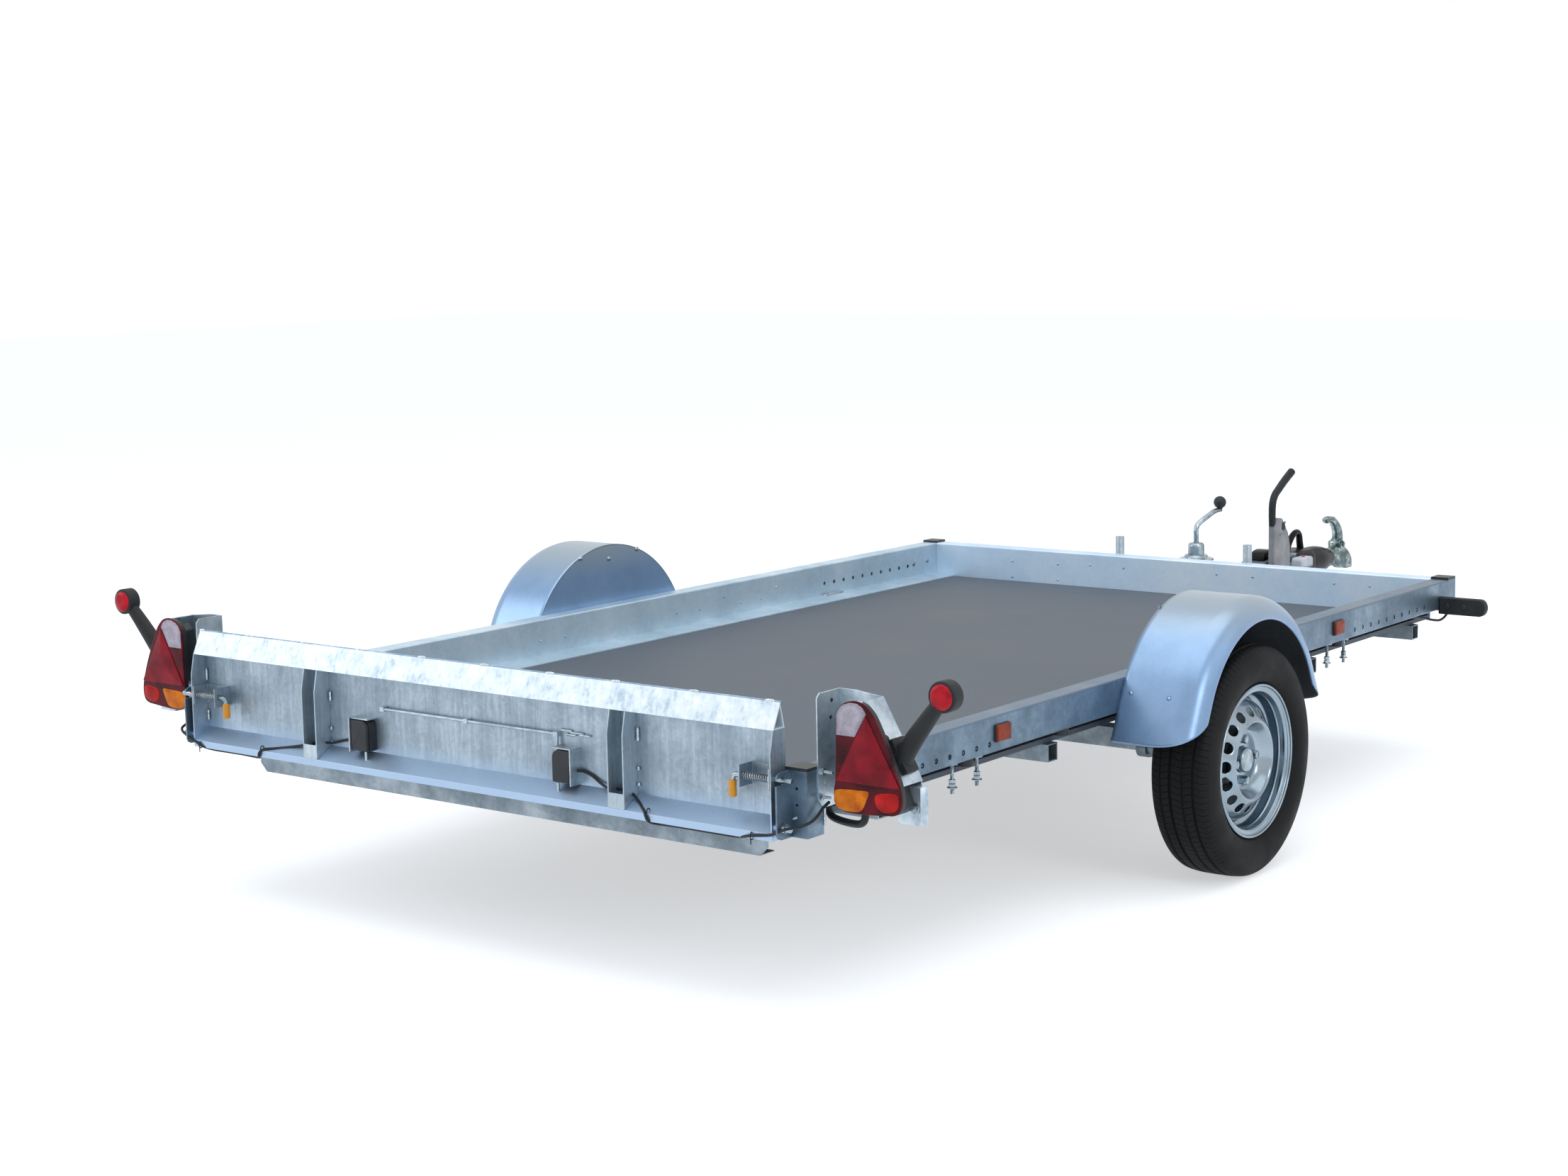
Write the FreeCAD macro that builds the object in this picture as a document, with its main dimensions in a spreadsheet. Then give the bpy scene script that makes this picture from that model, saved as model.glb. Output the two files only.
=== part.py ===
import FreeCAD, Part
import Sketcher
import math
import os

# Tilt trailer, in millimetres. X is to the right, Y forward to the coupling, Z up from the ground.
# Stations are measured forward from the rear face of the tailgate, and `along` turns one into Y.

doc = FreeCAD.newDocument("tilt_trailer")
sheet = doc.addObject("Spreadsheet::Sheet", "Sizes")
nodes = []
rows = []


class Size:
    """A number together with the sheet rule that gives it."""

    def __init__(self, value, rule):
        self.value = float(value)
        self.rule = rule

    def __float__(self):
        return self.value

    def join(self, other, sign, value):
        right = other.rule if isinstance(other, Size) else repr(float(other))
        return Size(value, "(%s %s %s)" % (self.rule, sign, right))

    def __add__(self, other):
        return self.join(other, "+", self.value + float(other))

    def __sub__(self, other):
        return self.join(other, "-", self.value - float(other))

    def __mul__(self, other):
        return self.join(other, "*", self.value * float(other))

    def __truediv__(self, other):
        return self.join(other, "/", self.value / float(other))

    def __radd__(self, other):
        return plain(other) + self

    def __rsub__(self, other):
        return plain(other) - self

    def __rmul__(self, other):
        return plain(other) * self

    def __neg__(self):
        return plain(0) - self


def plain(number):
    return Size(number, repr(float(number)))


def cell(alias, value):
    rows.append(alias)
    sheet.set("A%d" % len(rows), alias)
    sheet.set("B%d" % len(rows), str(value))
    sheet.setAlias("B%d" % len(rows), alias)
    return Size(value, "Sizes.%s" % alias)


# Deck frame and floor
deck_width = cell("deck_width", 1804)
deck_front = cell("deck_front", 3127)
origin_station = cell("origin_station", 2163)
rail_top = cell("rail_top", 495)
rail_height = cell("rail_height", 78)
rail_flange = cell("rail_flange", 52)
rail_lip = cell("rail_lip", 40)
ledge_width = cell("ledge_width", 70)
ledge_rise = cell("ledge_rise", 11)
sheet_metal = cell("sheet_metal", 2.5)
bend_radius = cell("bend_radius", 4)
floor_top = cell("floor_top", 391)
floor_board = cell("floor_board", 12)
floor_rear = cell("floor_rear", 62)
post_side = cell("post_side", 52)
post_wall = cell("post_wall", 3)
post_drop = cell("post_drop", 12)
rear_post_station = cell("rear_post_station", 39)
rear_post_bottom = cell("rear_post_bottom", 364)
cap_rise = cell("cap_rise", 6)
fit_gap = cell("fit_gap", 0.3)

# Stake holes in the rails
stake_hole = cell("stake_hole", 12)
stake_pitch = cell("stake_pitch", 50)
stake_count = cell("stake_count", 10)
stake_height = cell("stake_height", 437)
front_stakes = cell("front_stakes", 2461)
rear_stakes = cell("rear_stakes", 228)

# Beams under the floor, and the axle
spine_half = cell("spine_half", 90)
spine_width = cell("spine_width", 40)
spine_height = cell("spine_height", 75)
outrigger_side = cell("outrigger_side", 40)
outrigger_count = cell("outrigger_count", 5)
outrigger_first = cell("outrigger_first", 330)
outrigger_pitch = cell("outrigger_pitch", 650)
rear_beam_station = cell("rear_beam_station", 112)
rear_beam_depth = cell("rear_beam_depth", 45)
rear_beam_height = cell("rear_beam_height", 87)
rear_beam_inset = cell("rear_beam_inset", 103)
axle_station = cell("axle_station", 1515)
wheel_height = cell("wheel_height", 273.5)
axle_arm = cell("axle_arm", 150)
axle_beam = cell("axle_beam", 50)
axle_beam_height = cell("axle_beam_height", 259)
axle_inset = cell("axle_inset", 112)
arm_thick = cell("arm_thick", 26)
arm_width = cell("arm_width", 46)

# Wheels
tyre_radius = cell("tyre_radius", 273.5)
tyre_width = cell("tyre_width", 157)
tyre_offset = cell("tyre_offset", 132)
flange_radius = cell("flange_radius", 181)
bead_radius = cell("bead_radius", 165)
rim_width = cell("rim_width", 130)
rim_metal = cell("rim_metal", 3)
disc_offset = cell("disc_offset", 59)
vent_count = cell("vent_count", 16)
vent_hole = cell("vent_hole", 24)
vent_circle = cell("vent_circle", 115)
drum_radius = cell("drum_radius", 108)
drum_width = cell("drum_width", 62)
spindle_radius = cell("spindle_radius", 15)
running_gap = cell("running_gap", 0.05)

# Fenders
fender_width = cell("fender_width", 206)
fender_top = cell("fender_top", 657)
fender_bottom = cell("fender_bottom", 361)
fender_half = cell("fender_half", 350)
fender_lean = cell("fender_lean", 25)
fender_round = cell("fender_round", 260)
fender_shoulder = cell("fender_shoulder", 55)
fender_lip = cell("fender_lip", 50)
fender_metal = cell("fender_metal", 2)

# Tailgate
gate_gap = cell("gate_gap", 15)
gate_bottom = cell("gate_bottom", 359)
gate_top = cell("gate_top", 626)
gate_depth = cell("gate_depth", 47)
gate_band = cell("gate_band", 52)
gate_ridge = cell("gate_ridge", 34)
gate_step = cell("gate_step", 10)
gate_kink = cell("gate_kink", 526)
gate_lip = cell("gate_lip", 15)
gate_shelf = cell("gate_shelf", 26)
rib_centre = cell("rib_centre", 450)
rib_width = cell("rib_width", 44)
rib_metal = cell("rib_metal", 3)
pivot_station = cell("pivot_station", 10)
pivot_height = cell("pivot_height", 386)
pivot_radius = cell("pivot_radius", 6)
latch_station = cell("latch_station", 13)
latch_height = cell("latch_height", 479)
latch_radius = cell("latch_radius", 5.5)
latch_reach = cell("latch_reach", 75)
cheek_metal = cell("cheek_metal", 4)
cheek_reach = cell("cheek_reach", 46)
cheek_set = cell("cheek_set", 10)
cheek_corner = cell("cheek_corner", 12)

# Lamps
carrier_metal = cell("carrier_metal", 3)
carrier_rear = cell("carrier_rear", 71)
carrier_front = cell("carrier_front", 148)
carrier_top = cell("carrier_top", 642)
lamp_rear = cell("lamp_rear", 62)
marker_offset = cell("marker_offset", 282)
marker_height = cell("marker_height", 661)
marker_radius = cell("marker_radius", 30.5)
marker_length = cell("marker_length", 36)
marker_station = cell("marker_station", 96)
arm_radius = cell("arm_radius", 14)
front_marker_offset = cell("front_marker_offset", 138)
front_marker_station = cell("front_marker_station", 3010)
front_marker_height = cell("front_marker_height", 430)
reflector_wide = cell("reflector_wide", 56)
reflector_high = cell("reflector_high", 38)
reflector_rear = cell("reflector_rear", 725)
reflector_front = cell("reflector_front", 2356)
plate_lamp_right = cell("plate_lamp_right", 263)
plate_lamp_left = cell("plate_lamp_left", 281)
plate_lamp_wide = cell("plate_lamp_wide", 52)
plate_lamp_height = cell("plate_lamp_height", 404)
plate_rod_right = cell("plate_rod_right", 262)
plate_rod_left = cell("plate_rod_left", 256)
plate_rod_rise = cell("plate_rod_rise", 27)

# Drawbar and what it carries
tilt_height = cell("tilt_height", 349)
tilt_radius = cell("tilt_radius", 12)
drawbar_width = cell("drawbar_width", 70)
drawbar_height = cell("drawbar_height", 50)
drawbar_front = cell("drawbar_front", 3765)
drawbar_wall = cell("drawbar_wall", 4)
hoop_radius = cell("hoop_radius", 13.5)
hoop_half = cell("hoop_half", 221)
hoop_top = cell("hoop_top", 539)
hoop_station = cell("hoop_station", 3172)
hoop_bend = cell("hoop_bend", 45)
jockey_side = cell("jockey_side", 85)
jockey_station = cell("jockey_station", 3417)
jockey_radius = cell("jockey_radius", 25)
jockey_top = cell("jockey_top", 506)
jockey_bottom = cell("jockey_bottom", 215)
jockey_wheel_radius = cell("jockey_wheel_radius", 95)
jockey_wheel_width = cell("jockey_wheel_width", 50)
crank_reach = cell("crank_reach", 115)
crank_radius = cell("crank_radius", 7)
crank_top = cell("crank_top", 598)
knob_radius = cell("knob_radius", 20)
overrun_height = cell("overrun_height", 376)
shaft_radius = cell("shaft_radius", 22)
housing_rear = cell("housing_rear", 3600)
housing_front = cell("housing_front", 3985)
housing_width = cell("housing_width", 84)
bellows_front = cell("bellows_front", 4190)
bellows_radius = cell("bellows_radius", 50)
ball_station = cell("ball_station", 4295)
ball_radius = cell("ball_radius", 25.2)
ball_height = cell("ball_height", 345)
cup_radius = cell("cup_radius", 38)
handle_pivot = cell("handle_pivot", 414)
handle_pin = cell("handle_pin", 5)
brake_station = cell("brake_station", 3695)
brake_side = cell("brake_side", 80)
brake_pivot = cell("brake_pivot", 400)
brake_width = cell("brake_width", 22)
brake_height = cell("brake_height", 590)


def along(station):
    return station - origin_station


def keep(label, piece):
    """Give a finished sub-part the name of its node."""
    piece.Label = label
    nodes.append(piece)
    return piece


def place(piece, corner, turn=None):
    """Put a piece at a point, each coordinate tied to the sheet."""
    if turn:
        axis, angle = turn
        piece.Placement = FreeCAD.Placement(FreeCAD.Vector(), FreeCAD.Rotation(FreeCAD.Vector(*axis), angle))
    for name, value in zip("xyz", corner):
        value = value if isinstance(value, Size) else plain(value)
        piece.setExpression("Placement.Base.%s" % name, value.rule)


def tie(piece, **sizes):
    for name, value in sizes.items():
        value = value if isinstance(value, Size) else plain(value)
        piece.setExpression(name, value.rule)


def block(corner, size):
    piece = doc.addObject("Part::Box", "Block")
    tie(piece, Length=size[0], Width=size[1], Height=size[2])
    place(piece, corner)
    return piece


turns = {"x": ((0, 1, 0), 90), "y": ((1, 0, 0), -90), "z": None}


def rod(centre, direction, radius, length):
    """A cylinder that starts at a point and runs along +X, +Y or +Z."""
    piece = doc.addObject("Part::Cylinder", "Rod")
    tie(piece, Radius=radius, Height=length)
    place(piece, centre, turns[direction])
    return piece


def ball(centre, radius):
    piece = doc.addObject("Part::Sphere", "Ball")
    tie(piece, Radius=radius)
    place(piece, centre)
    return piece


def joined(*pieces):
    piece = doc.addObject("Part::MultiFuse", "Joined")
    piece.Shapes = list(pieces)
    return piece


def cut(base, *tools):
    piece = doc.addObject("Part::Cut", "Cut")
    piece.Base = base
    piece.Tool = tools[0] if len(tools) == 1 else joined(*tools)
    return piece


def other_side(label, source):
    """The same sub-part on the other side of the trailer."""
    piece = doc.addObject("Part::Mirroring", "OtherSide")
    piece.Source = source
    piece.Normal = (1, 0, 0)
    return keep(label, piece)


def both_sides(label, *sources):
    """One node that holds a sub-part and its twin across the trailer."""
    pieces = list(sources)
    for source in sources:
        twin = doc.addObject("Part::Mirroring", "Twin")
        twin.Source = source
        twin.Normal = (1, 0, 0)
        pieces.append(twin)
    return keep(label, joined(*pieces))


def plane_of(body, role):
    return next(f for f in body.Origin.OriginFeatures if f.Role == role)


def draw(body, role, outline):
    """A closed outline of straight lines whose corners are tied to the sheet."""
    sketch = body.newObject("Sketcher::SketchObject", "Outline")
    sketch.AttachmentSupport = (plane_of(body, role), [""])
    sketch.MapMode = "FlatFace"
    corners = [FreeCAD.Vector(float(u), float(v), 0) for u, v in outline]
    count = len(corners)
    for index in range(count):
        sketch.addGeometry(Part.LineSegment(corners[index], corners[(index + 1) % count]), False)
    for index in range(count):
        sketch.addConstraint(Sketcher.Constraint("Coincident", index, 2, (index + 1) % count, 1))
    for index, (u, v) in enumerate(outline):
        for kind, value in (("DistanceX", u), ("DistanceY", v)):
            value = value if isinstance(value, Size) else plain(value)
            number = sketch.addConstraint(Sketcher.Constraint(kind, -1, 1, index, 1, float(value)))
            sketch.setExpression("Constraints[%d]" % number, value.rule)
    return sketch


def ring(body, role, u, v, radius):
    """One circle whose centre and radius are tied to the sheet."""
    sketch = body.newObject("Sketcher::SketchObject", "Circle")
    sketch.AttachmentSupport = (plane_of(body, role), [""])
    sketch.MapMode = "FlatFace"
    sketch.addGeometry(Part.Circle(FreeCAD.Vector(float(u), float(v), 0), FreeCAD.Vector(0, 0, 1),
                                   float(radius)), False)
    for kind, value in (("DistanceX", u), ("DistanceY", v)):
        number = sketch.addConstraint(Sketcher.Constraint(kind, -1, 1, 0, 3, float(value)))
        value = value if isinstance(value, Size) else plain(value)
        sketch.setExpression("Constraints[%d]" % number, value.rule)
    number = sketch.addConstraint(Sketcher.Constraint("Radius", 0, float(radius)))
    sketch.setExpression("Constraints[%d]" % number, radius.rule)
    return sketch


def folded(role, outline, length, symmetric=False, backward=False):
    """A body made by carrying one outline along the normal of an origin plane."""
    body = doc.addObject("PartDesign::Body", "Folded")
    sketch = draw(body, role, outline)
    pad = body.newObject("PartDesign::Pad", "Run")
    pad.Profile = sketch
    tie(pad, Length=length)
    pad.Midplane = symmetric
    pad.Reversed = backward
    body.Tip = pad
    return body


def edge_names(shape, wanted):
    return ["Edge%d" % (i + 1) for i, edge in enumerate(shape.Edges) if wanted(edge)]


def soften(body, radius, wanted):
    """Round the bends of a folded body."""
    doc.recompute()
    base = body.Tip
    fillet = body.newObject("PartDesign::Fillet", "Bends")
    fillet.Base = (base, edge_names(base.Shape, wanted))
    tie(fillet, Radius=radius)
    body.Tip = fillet
    return fillet


def straight(edge, direction):
    """True for a straight edge that runs along one of the row axes."""
    if edge.Curve.TypeId != "Part::GeomLine":
        return False
    return abs(edge.Curve.Direction.dot(FreeCAD.Vector(*direction))) > 0.9999


def spun(role, outline, axis, centre):
    """A body made by turning one outline about an axis of its sketch."""
    body = doc.addObject("PartDesign::Body", "Turned")
    sketch = draw(body, role, outline)
    turn = body.newObject("PartDesign::Revolution", "Turn")
    turn.Profile = sketch
    turn.ReferenceAxis = (sketch, [axis])
    turn.Angle = 360
    body.Tip = turn
    place(body, centre)
    return body


def bent(points, radius, bend):
    """A round bar along straight runs joined by tangent arcs."""
    points = [FreeCAD.Vector(*[float(value) for value in point]) for point in points]
    edges = []
    start = points[0]
    for before, corner, after in zip(points, points[1:], points[2:]):
        inward = (before - corner).normalize()
        outward = (after - corner).normalize()
        half = inward.getAngle(outward) / 2
        reach = float(bend) / math.tan(half)
        first = corner + inward * reach
        last = corner + outward * reach
        centre = corner + (inward + outward).normalize() * (float(bend) / math.sin(half))
        middle = centre + (corner - centre).normalize() * float(bend)
        edges.append(Part.LineSegment(start, first).toShape())
        edges.append(Part.Arc(first, middle, last).toShape())
        start = last
    edges.append(Part.LineSegment(start, points[-1]).toShape())
    path = Part.Wire(edges)
    section = Part.Wire([Part.makeCircle(float(radius), points[0], points[1] - points[0])])
    piece = doc.addObject("Part::Feature", "Bent")
    piece.Shape = path.makePipeShell([section], True, False)
    return piece


def strut(start, end, radius, tip=None):
    """A straight round bar or taper between two points."""
    low = FreeCAD.Vector(*[float(value) for value in start])
    run = FreeCAD.Vector(*[float(value) for value in end]) - low
    if tip is None:
        piece = doc.addObject("Part::Cylinder", "Strut")
        tie(piece, Radius=radius)
        piece.Height = run.Length
    else:
        piece = doc.addObject("Part::Cone", "Strut")
        tie(piece, Radius1=radius, Radius2=tip)
        piece.Height = run.Length
    piece.Placement = FreeCAD.Placement(low, FreeCAD.Rotation(FreeCAD.Vector(0, 0, 1), run))
    for name, value in zip("xyz", start):
        value = value if isinstance(value, Size) else plain(value)
        piece.setExpression("Placement.Base.%s" % name, value.rule)
    return piece


# Floor and rails
deck_half = deck_width / 2
inner_wall = deck_half - rail_flange
rail_bottom = rail_top - rail_height
ledge_edge = inner_wall - ledge_width
ledge_top = floor_top + ledge_rise
floor_under = floor_top - floor_board
rail_rear = rear_post_station + post_side
rail_front = deck_front - post_side
board_half = inner_wall - 5
front_wall = deck_front - rail_flange
cheek_inside = inner_wall + cheek_set
gate_half = cheek_inside - gate_gap
latch_inner = gate_half - latch_reach
pin_reach = cheek_inside + cheek_metal
rear_beam_half = inner_wall - rear_beam_inset
tyre_centre = deck_half + tyre_offset
axle_half = deck_half - axle_inset
marker_reach = deck_half + marker_offset
front_marker_reach = deck_half + front_marker_offset


def floor_panel():
    board = block((-board_half, along(floor_rear), floor_under),
                  (board_half * 2, front_wall - fit_gap - floor_rear, floor_board))
    return keep("floor_panel", board)


def side_rail():
    """One sheet folded into a lip, an outer wall, a top, an inner wall and the ledge over the floor."""
    skin = sheet_metal
    outline = [(deck_half - rail_lip, rail_bottom), (deck_half, rail_bottom), (deck_half, rail_top),
               (inner_wall, rail_top), (inner_wall, ledge_top), (ledge_edge, floor_top + skin),
               (ledge_edge, floor_top), (inner_wall + skin, ledge_top - skin),
               (inner_wall + skin, rail_top - skin), (deck_half - skin, rail_top - skin),
               (deck_half - skin, rail_bottom + skin), (deck_half - rail_lip, rail_bottom + skin)]
    body = folded("XZ_Plane", outline, rail_front - rail_rear, backward=True)
    place(body, (0, along(rail_rear), 0))
    doc.recompute()
    outer = (float(deck_half), float(inner_wall))
    heights = (float(rail_top), float(rail_bottom))

    def bend(edge):
        middle = edge.CenterOfMass
        return straight(edge, (0, 1, 0)) and min(abs(middle.x - x) for x in outer) < 0.01 and (
            min(abs(middle.z - z) for z in heights) < 0.01)

    soften(body, bend_radius, bend)
    for first in (front_stakes, rear_stakes):
        hole = ring(body, "YZ_Plane", first - rail_rear, stake_height, stake_hole / 2)
        doc.recompute()
        pocket = body.newObject("PartDesign::Pocket", "Stake")
        pocket.Profile = hole
        pocket.Type = 1
        pocket.Reversed = True
        body.Tip = pocket
        doc.recompute()
        row = body.newObject("PartDesign::LinearPattern", "Stakes")
        row.Originals = [pocket]
        row.Direction = (hole, ["H_Axis"])
        tie(row, Length=stake_pitch * (stake_count - 1), Occurrences=stake_count)
        body.Tip = row
    keep("side_rail_right", body)
    other_side("side_rail_left", body)


def front_rail():
    """The same fold without the ledge, closing the front of the deck."""
    skin = sheet_metal
    front = along(deck_front)
    back = along(deck_front - rail_flange)
    outline = [(front - rail_lip, rail_bottom), (front, rail_bottom), (front, rail_top), (back, rail_top),
               (back, floor_under), (back + skin, floor_under), (back + skin, rail_top - skin),
               (front - skin, rail_top - skin), (front - skin, rail_bottom + skin),
               (front - rail_lip, rail_bottom + skin)]
    body = folded("YZ_Plane", outline, (inner_wall - fit_gap) * 2, symmetric=True)
    doc.recompute()
    corners = ((front, rail_top), (back, rail_top), (front, rail_bottom))
    spots = [(float(y), float(z)) for y, z in corners]

    def bend(edge):
        middle = edge.CenterOfMass
        return straight(edge, (1, 0, 0)) and min(
            math.hypot(middle.y - y, middle.z - z) for y, z in spots) < 0.01

    soften(body, bend_radius, bend)
    return keep("front_rail", body)


def corner_posts():
    """Square tubes at the front corners; folded boxes with a cheek for the tailgate at the rear ones."""
    hollow = post_side - post_wall * 2
    front = along(deck_front - post_side)
    bottom = rail_bottom - post_drop
    height = rail_top - bottom
    tube = block((inner_wall, front, bottom), (post_side, post_side, height))
    inside = block((inner_wall + post_wall, front + post_wall, bottom - 1), (hollow, hollow, height + 2))
    front_post = cut(tube, inside)

    rear = along(rear_post_station)
    height = rail_top - rear_post_bottom
    tube = block((inner_wall, rear, rear_post_bottom), (post_side, post_side, height))
    inside = block((inner_wall + post_wall, rear + post_wall, rear_post_bottom - 1),
                   (hollow, hollow, height + 2))
    shell = cut(tube, inside)
    reach = cheek_reach
    back = rear - reach
    corner = cheek_corner
    cheek = folded("YZ_Plane", [(back, rear_post_bottom + corner),
                                (back + corner * 0.3, rear_post_bottom + corner * 0.3),
                                (back + corner, rear_post_bottom), (rear, rear_post_bottom), (rear, rail_top),
                                (back + corner, rail_top), (back + corner * 0.3, rail_top - corner * 0.3),
                                (back, rail_top - corner)], cheek_metal)
    place(cheek, (cheek_inside, 0, 0))
    hinge = rod((cheek_inside - 1, along(pivot_station), pivot_height), "x", pivot_radius + running_gap,
                cheek_metal + 2)
    slot_half = latch_radius + 1
    slot = block((cheek_inside - 1, back - 1, latch_height - slot_half - 2),
                 (cheek_metal + 2, along(latch_station) - back + 1, slot_half * 2 + 2))
    seat = rod((cheek_inside - 1, along(latch_station), latch_height), "x", slot_half, cheek_metal + 2)
    drills = [rod((cheek_inside + 17, rear - 1, rail_top - drop), "y", 3, post_wall + 2) for drop in (35, 67)]
    both_sides("corner_posts", front_post, cut(joined(shell, cheek), hinge, slot, seat, *drills))

    caps = []
    for station in (front, rear):
        cap = block((inner_wall, station, rail_top), (post_side, post_side, cap_rise))
        stem = block((inner_wall + post_wall + 0.1, station + post_wall + 0.1, rail_top - 12),
                     (hollow - 0.2, hollow - 0.2, 12))
        caps.append(joined(cap, stem))
    both_sides("post_caps", *caps)


def floor_beams():
    """Two channels beside the drawbar, outriggers from them to the rails, and the rear cross beam."""
    low = floor_under - spine_height
    skin = rib_metal
    outline = [(spine_half, low), (spine_half + spine_width, low), (spine_half + spine_width, low + skin),
               (spine_half + skin, low + skin), (spine_half + skin, floor_under - skin),
               (spine_half + spine_width, floor_under - skin), (spine_half + spine_width, floor_under),
               (spine_half, floor_under)]
    start = rear_beam_station + rear_beam_depth
    spine = folded("XZ_Plane", outline, front_wall - start, backward=True)
    place(spine, (0, along(start), 0))
    eye = rod((spine_half - 1, along(axle_station), tilt_height), "x", tilt_radius + running_gap, spine_width)
    both_sides("spine_beams", cut(spine, eye))

    bars = []
    for index in range(round(float(outrigger_count))):
        station = outrigger_first + outrigger_pitch * index
        reach = deck_half - rail_lip - 2 - spine_half - spine_width
        low = floor_under - outrigger_side
        outer = block((spine_half + spine_width, along(station), low),
                      (reach, outrigger_side, outrigger_side))
        inner = block((spine_half + spine_width - 1, along(station) + skin, low + skin),
                      (reach + 2, outrigger_side - skin * 2, outrigger_side - skin * 2))
        bars.append(cut(outer, inner))
    both_sides("outriggers", *bars)

    half = rear_beam_half
    low = floor_under - rear_beam_height
    face = [(-half, low + 20), (-half + 20, low), (half - 20, low), (half, low + 20), (half, floor_under),
            (-half, floor_under)]
    beam = folded("XZ_Plane", face, rear_beam_depth, backward=True)
    place(beam, (0, along(rear_beam_station), 0))
    hollow = block((-half - 1, along(rear_beam_station) + skin, low + skin),
                   (half * 2 + 2, rear_beam_depth, rear_beam_height - skin * 2))
    keep("rear_beam", cut(beam, hollow))

    pin = rod((-(spine_half + 8), along(axle_station), tilt_height), "x", tilt_radius, (spine_half + 8) * 2)
    keep("tilt_pin", pin)


def axle():
    """Rubber-sprung beam across the trailer with a trailing arm and a spindle at each end."""
    station = along(axle_station + axle_arm)
    low = axle_beam_height - axle_beam / 2
    beam = block((-axle_half, station - axle_beam / 2, low), (axle_half * 2, axle_beam, axle_beam))
    seat = floor_under - spine_height - low - axle_beam
    pads = []
    for side in (1, -1):
        left = spine_half if side > 0 else -(spine_half + spine_width)
        pads.append(block((left, station - 60, low + axle_beam), (spine_width, 120, seat)))
    keep("axle_beam", joined(beam, *pads))
    half = arm_width / 2
    wheel = along(axle_station)
    outline = [(wheel, wheel_height - half), (station, axle_beam_height - half),
               (station, axle_beam_height + half), (wheel, wheel_height + half)]
    bar = folded("YZ_Plane", outline, arm_thick)
    place(bar, (axle_half, 0, 0))
    root = rod((axle_half, station, axle_beam_height), "x", half, arm_thick)
    eye = rod((axle_half, wheel, wheel_height), "x", half, arm_thick)
    inside = tyre_centre - rim_width / 2
    spindle = rod((axle_half + arm_thick, wheel, wheel_height), "x", spindle_radius,
                  inside + drum_width - 8 - axle_half - arm_thick)
    both_sides("axle_arms", joined(bar, root, eye, spindle))


def wheels():
    """Tyre, pressed steel rim with its vented disc, and brake drum on each side."""
    wheel = (tyre_centre, along(axle_station), wheel_height)
    half = tyre_width / 2
    tread = half - 22
    bead = rim_width / 2 - 8.3
    outline = [(-bead, bead_radius + 0.3), (bead, bead_radius + 0.3), (bead, flange_radius),
               (half - 6, tyre_radius - 68), (half, tyre_radius - 48), (half - 3, tyre_radius - 24),
               (half - 11, tyre_radius - 9), (tread, tyre_radius - 3), (tread / 2, tyre_radius),
               (-tread / 2, tyre_radius), (-tread, tyre_radius - 3), (-half + 11, tyre_radius - 9),
               (-half + 3, tyre_radius - 24), (-half, tyre_radius - 48), (-half + 6, tyre_radius - 68),
               (-bead, flange_radius)]
    tyre = keep("tyre_right", spun("XY_Plane", outline, "H_Axis", wheel))
    other_side("tyre_left", tyre)

    edge = rim_width / 2
    skin = rim_metal
    well = bead_radius - 17
    barrel = [(-edge, flange_radius), (-edge + 8, flange_radius), (-edge + 8, bead_radius),
              (-32, bead_radius - 2),
              (-25, well), (6, well), (14, bead_radius - 2), (edge - 8, bead_radius),
              (edge - 8, flange_radius),
              (edge, flange_radius), (edge, flange_radius - 4), (edge - 8 + skin, flange_radius - 4),
              (edge - 8 + skin, bead_radius - skin), (17, bead_radius - 2 - skin), (9, well - skin),
              (-28, well - skin), (-35, bead_radius - 2 - skin), (-edge + 8 - skin, bead_radius - skin),
              (-edge + 8 - skin, flange_radius - 4), (-edge, flange_radius - 4)]
    rim = spun("XY_Plane", barrel, "H_Axis", wheel)
    face = disc_offset
    ring_edge = well - skin + 0.5
    dish = [(face - 48, ring_edge), (face - 33, ring_edge - 4.5), (face - 27, 133), (face - 14, 115),
            (face - 1.5, 97), (face, 93), (face - 4, 88), (face - 27, 76), (face - 33, 69), (face - 33, 29),
            (face - 36.5, 29), (face - 36.5, 71), (face - 30, 79.5), (face - 7, 91), (face - 3.7, 94),
            (face - 16.5, 112.5), (face - 29.5, 130.5), (face - 35, ring_edge - 7.5),
            (face - 48, ring_edge - 3.5), (face - 62, ring_edge - 3.5), (face - 62, ring_edge)]
    sketch = draw(rim, "XY_Plane", dish)
    doc.recompute()
    turn = rim.newObject("PartDesign::Revolution", "Disc")
    turn.Profile = sketch
    turn.ReferenceAxis = (sketch, ["H_Axis"])
    turn.Angle = 360
    rim.Tip = turn
    hole = ring(rim, "YZ_Plane", vent_circle, 0, vent_hole / 2)
    doc.recompute()
    pocket = rim.newObject("PartDesign::Pocket", "Vent")
    pocket.Profile = hole
    pocket.Type = 1
    pocket.Reversed = True
    rim.Tip = pocket
    doc.recompute()
    vents = rim.newObject("PartDesign::PolarPattern", "Vents")
    vents.Originals = [pocket]
    vents.Axis = (hole, ["N_Axis"])
    vents.Angle = 360
    tie(vents, Occurrences=vent_count)
    rim.Tip = vents
    keep("rim_right", rim)
    other_side("rim_left", rim)

    back = -rim_width / 2
    front = face - 36.5 - fit_gap
    bore = spindle_radius + running_gap
    drum = [(front - 8, 0), (front - 8, bore), (back, bore), (back, drum_radius), (front - 8, drum_radius),
            (front, drum_radius - 34), (front, 28.5), (front + 13, 28.5), (front + 17, 25), (front + 19, 18),
            (front + 19, 0)]
    drum = keep("hub_right", spun("XY_Plane", drum, "H_Axis", wheel))
    other_side("hub_left", drum)


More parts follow.
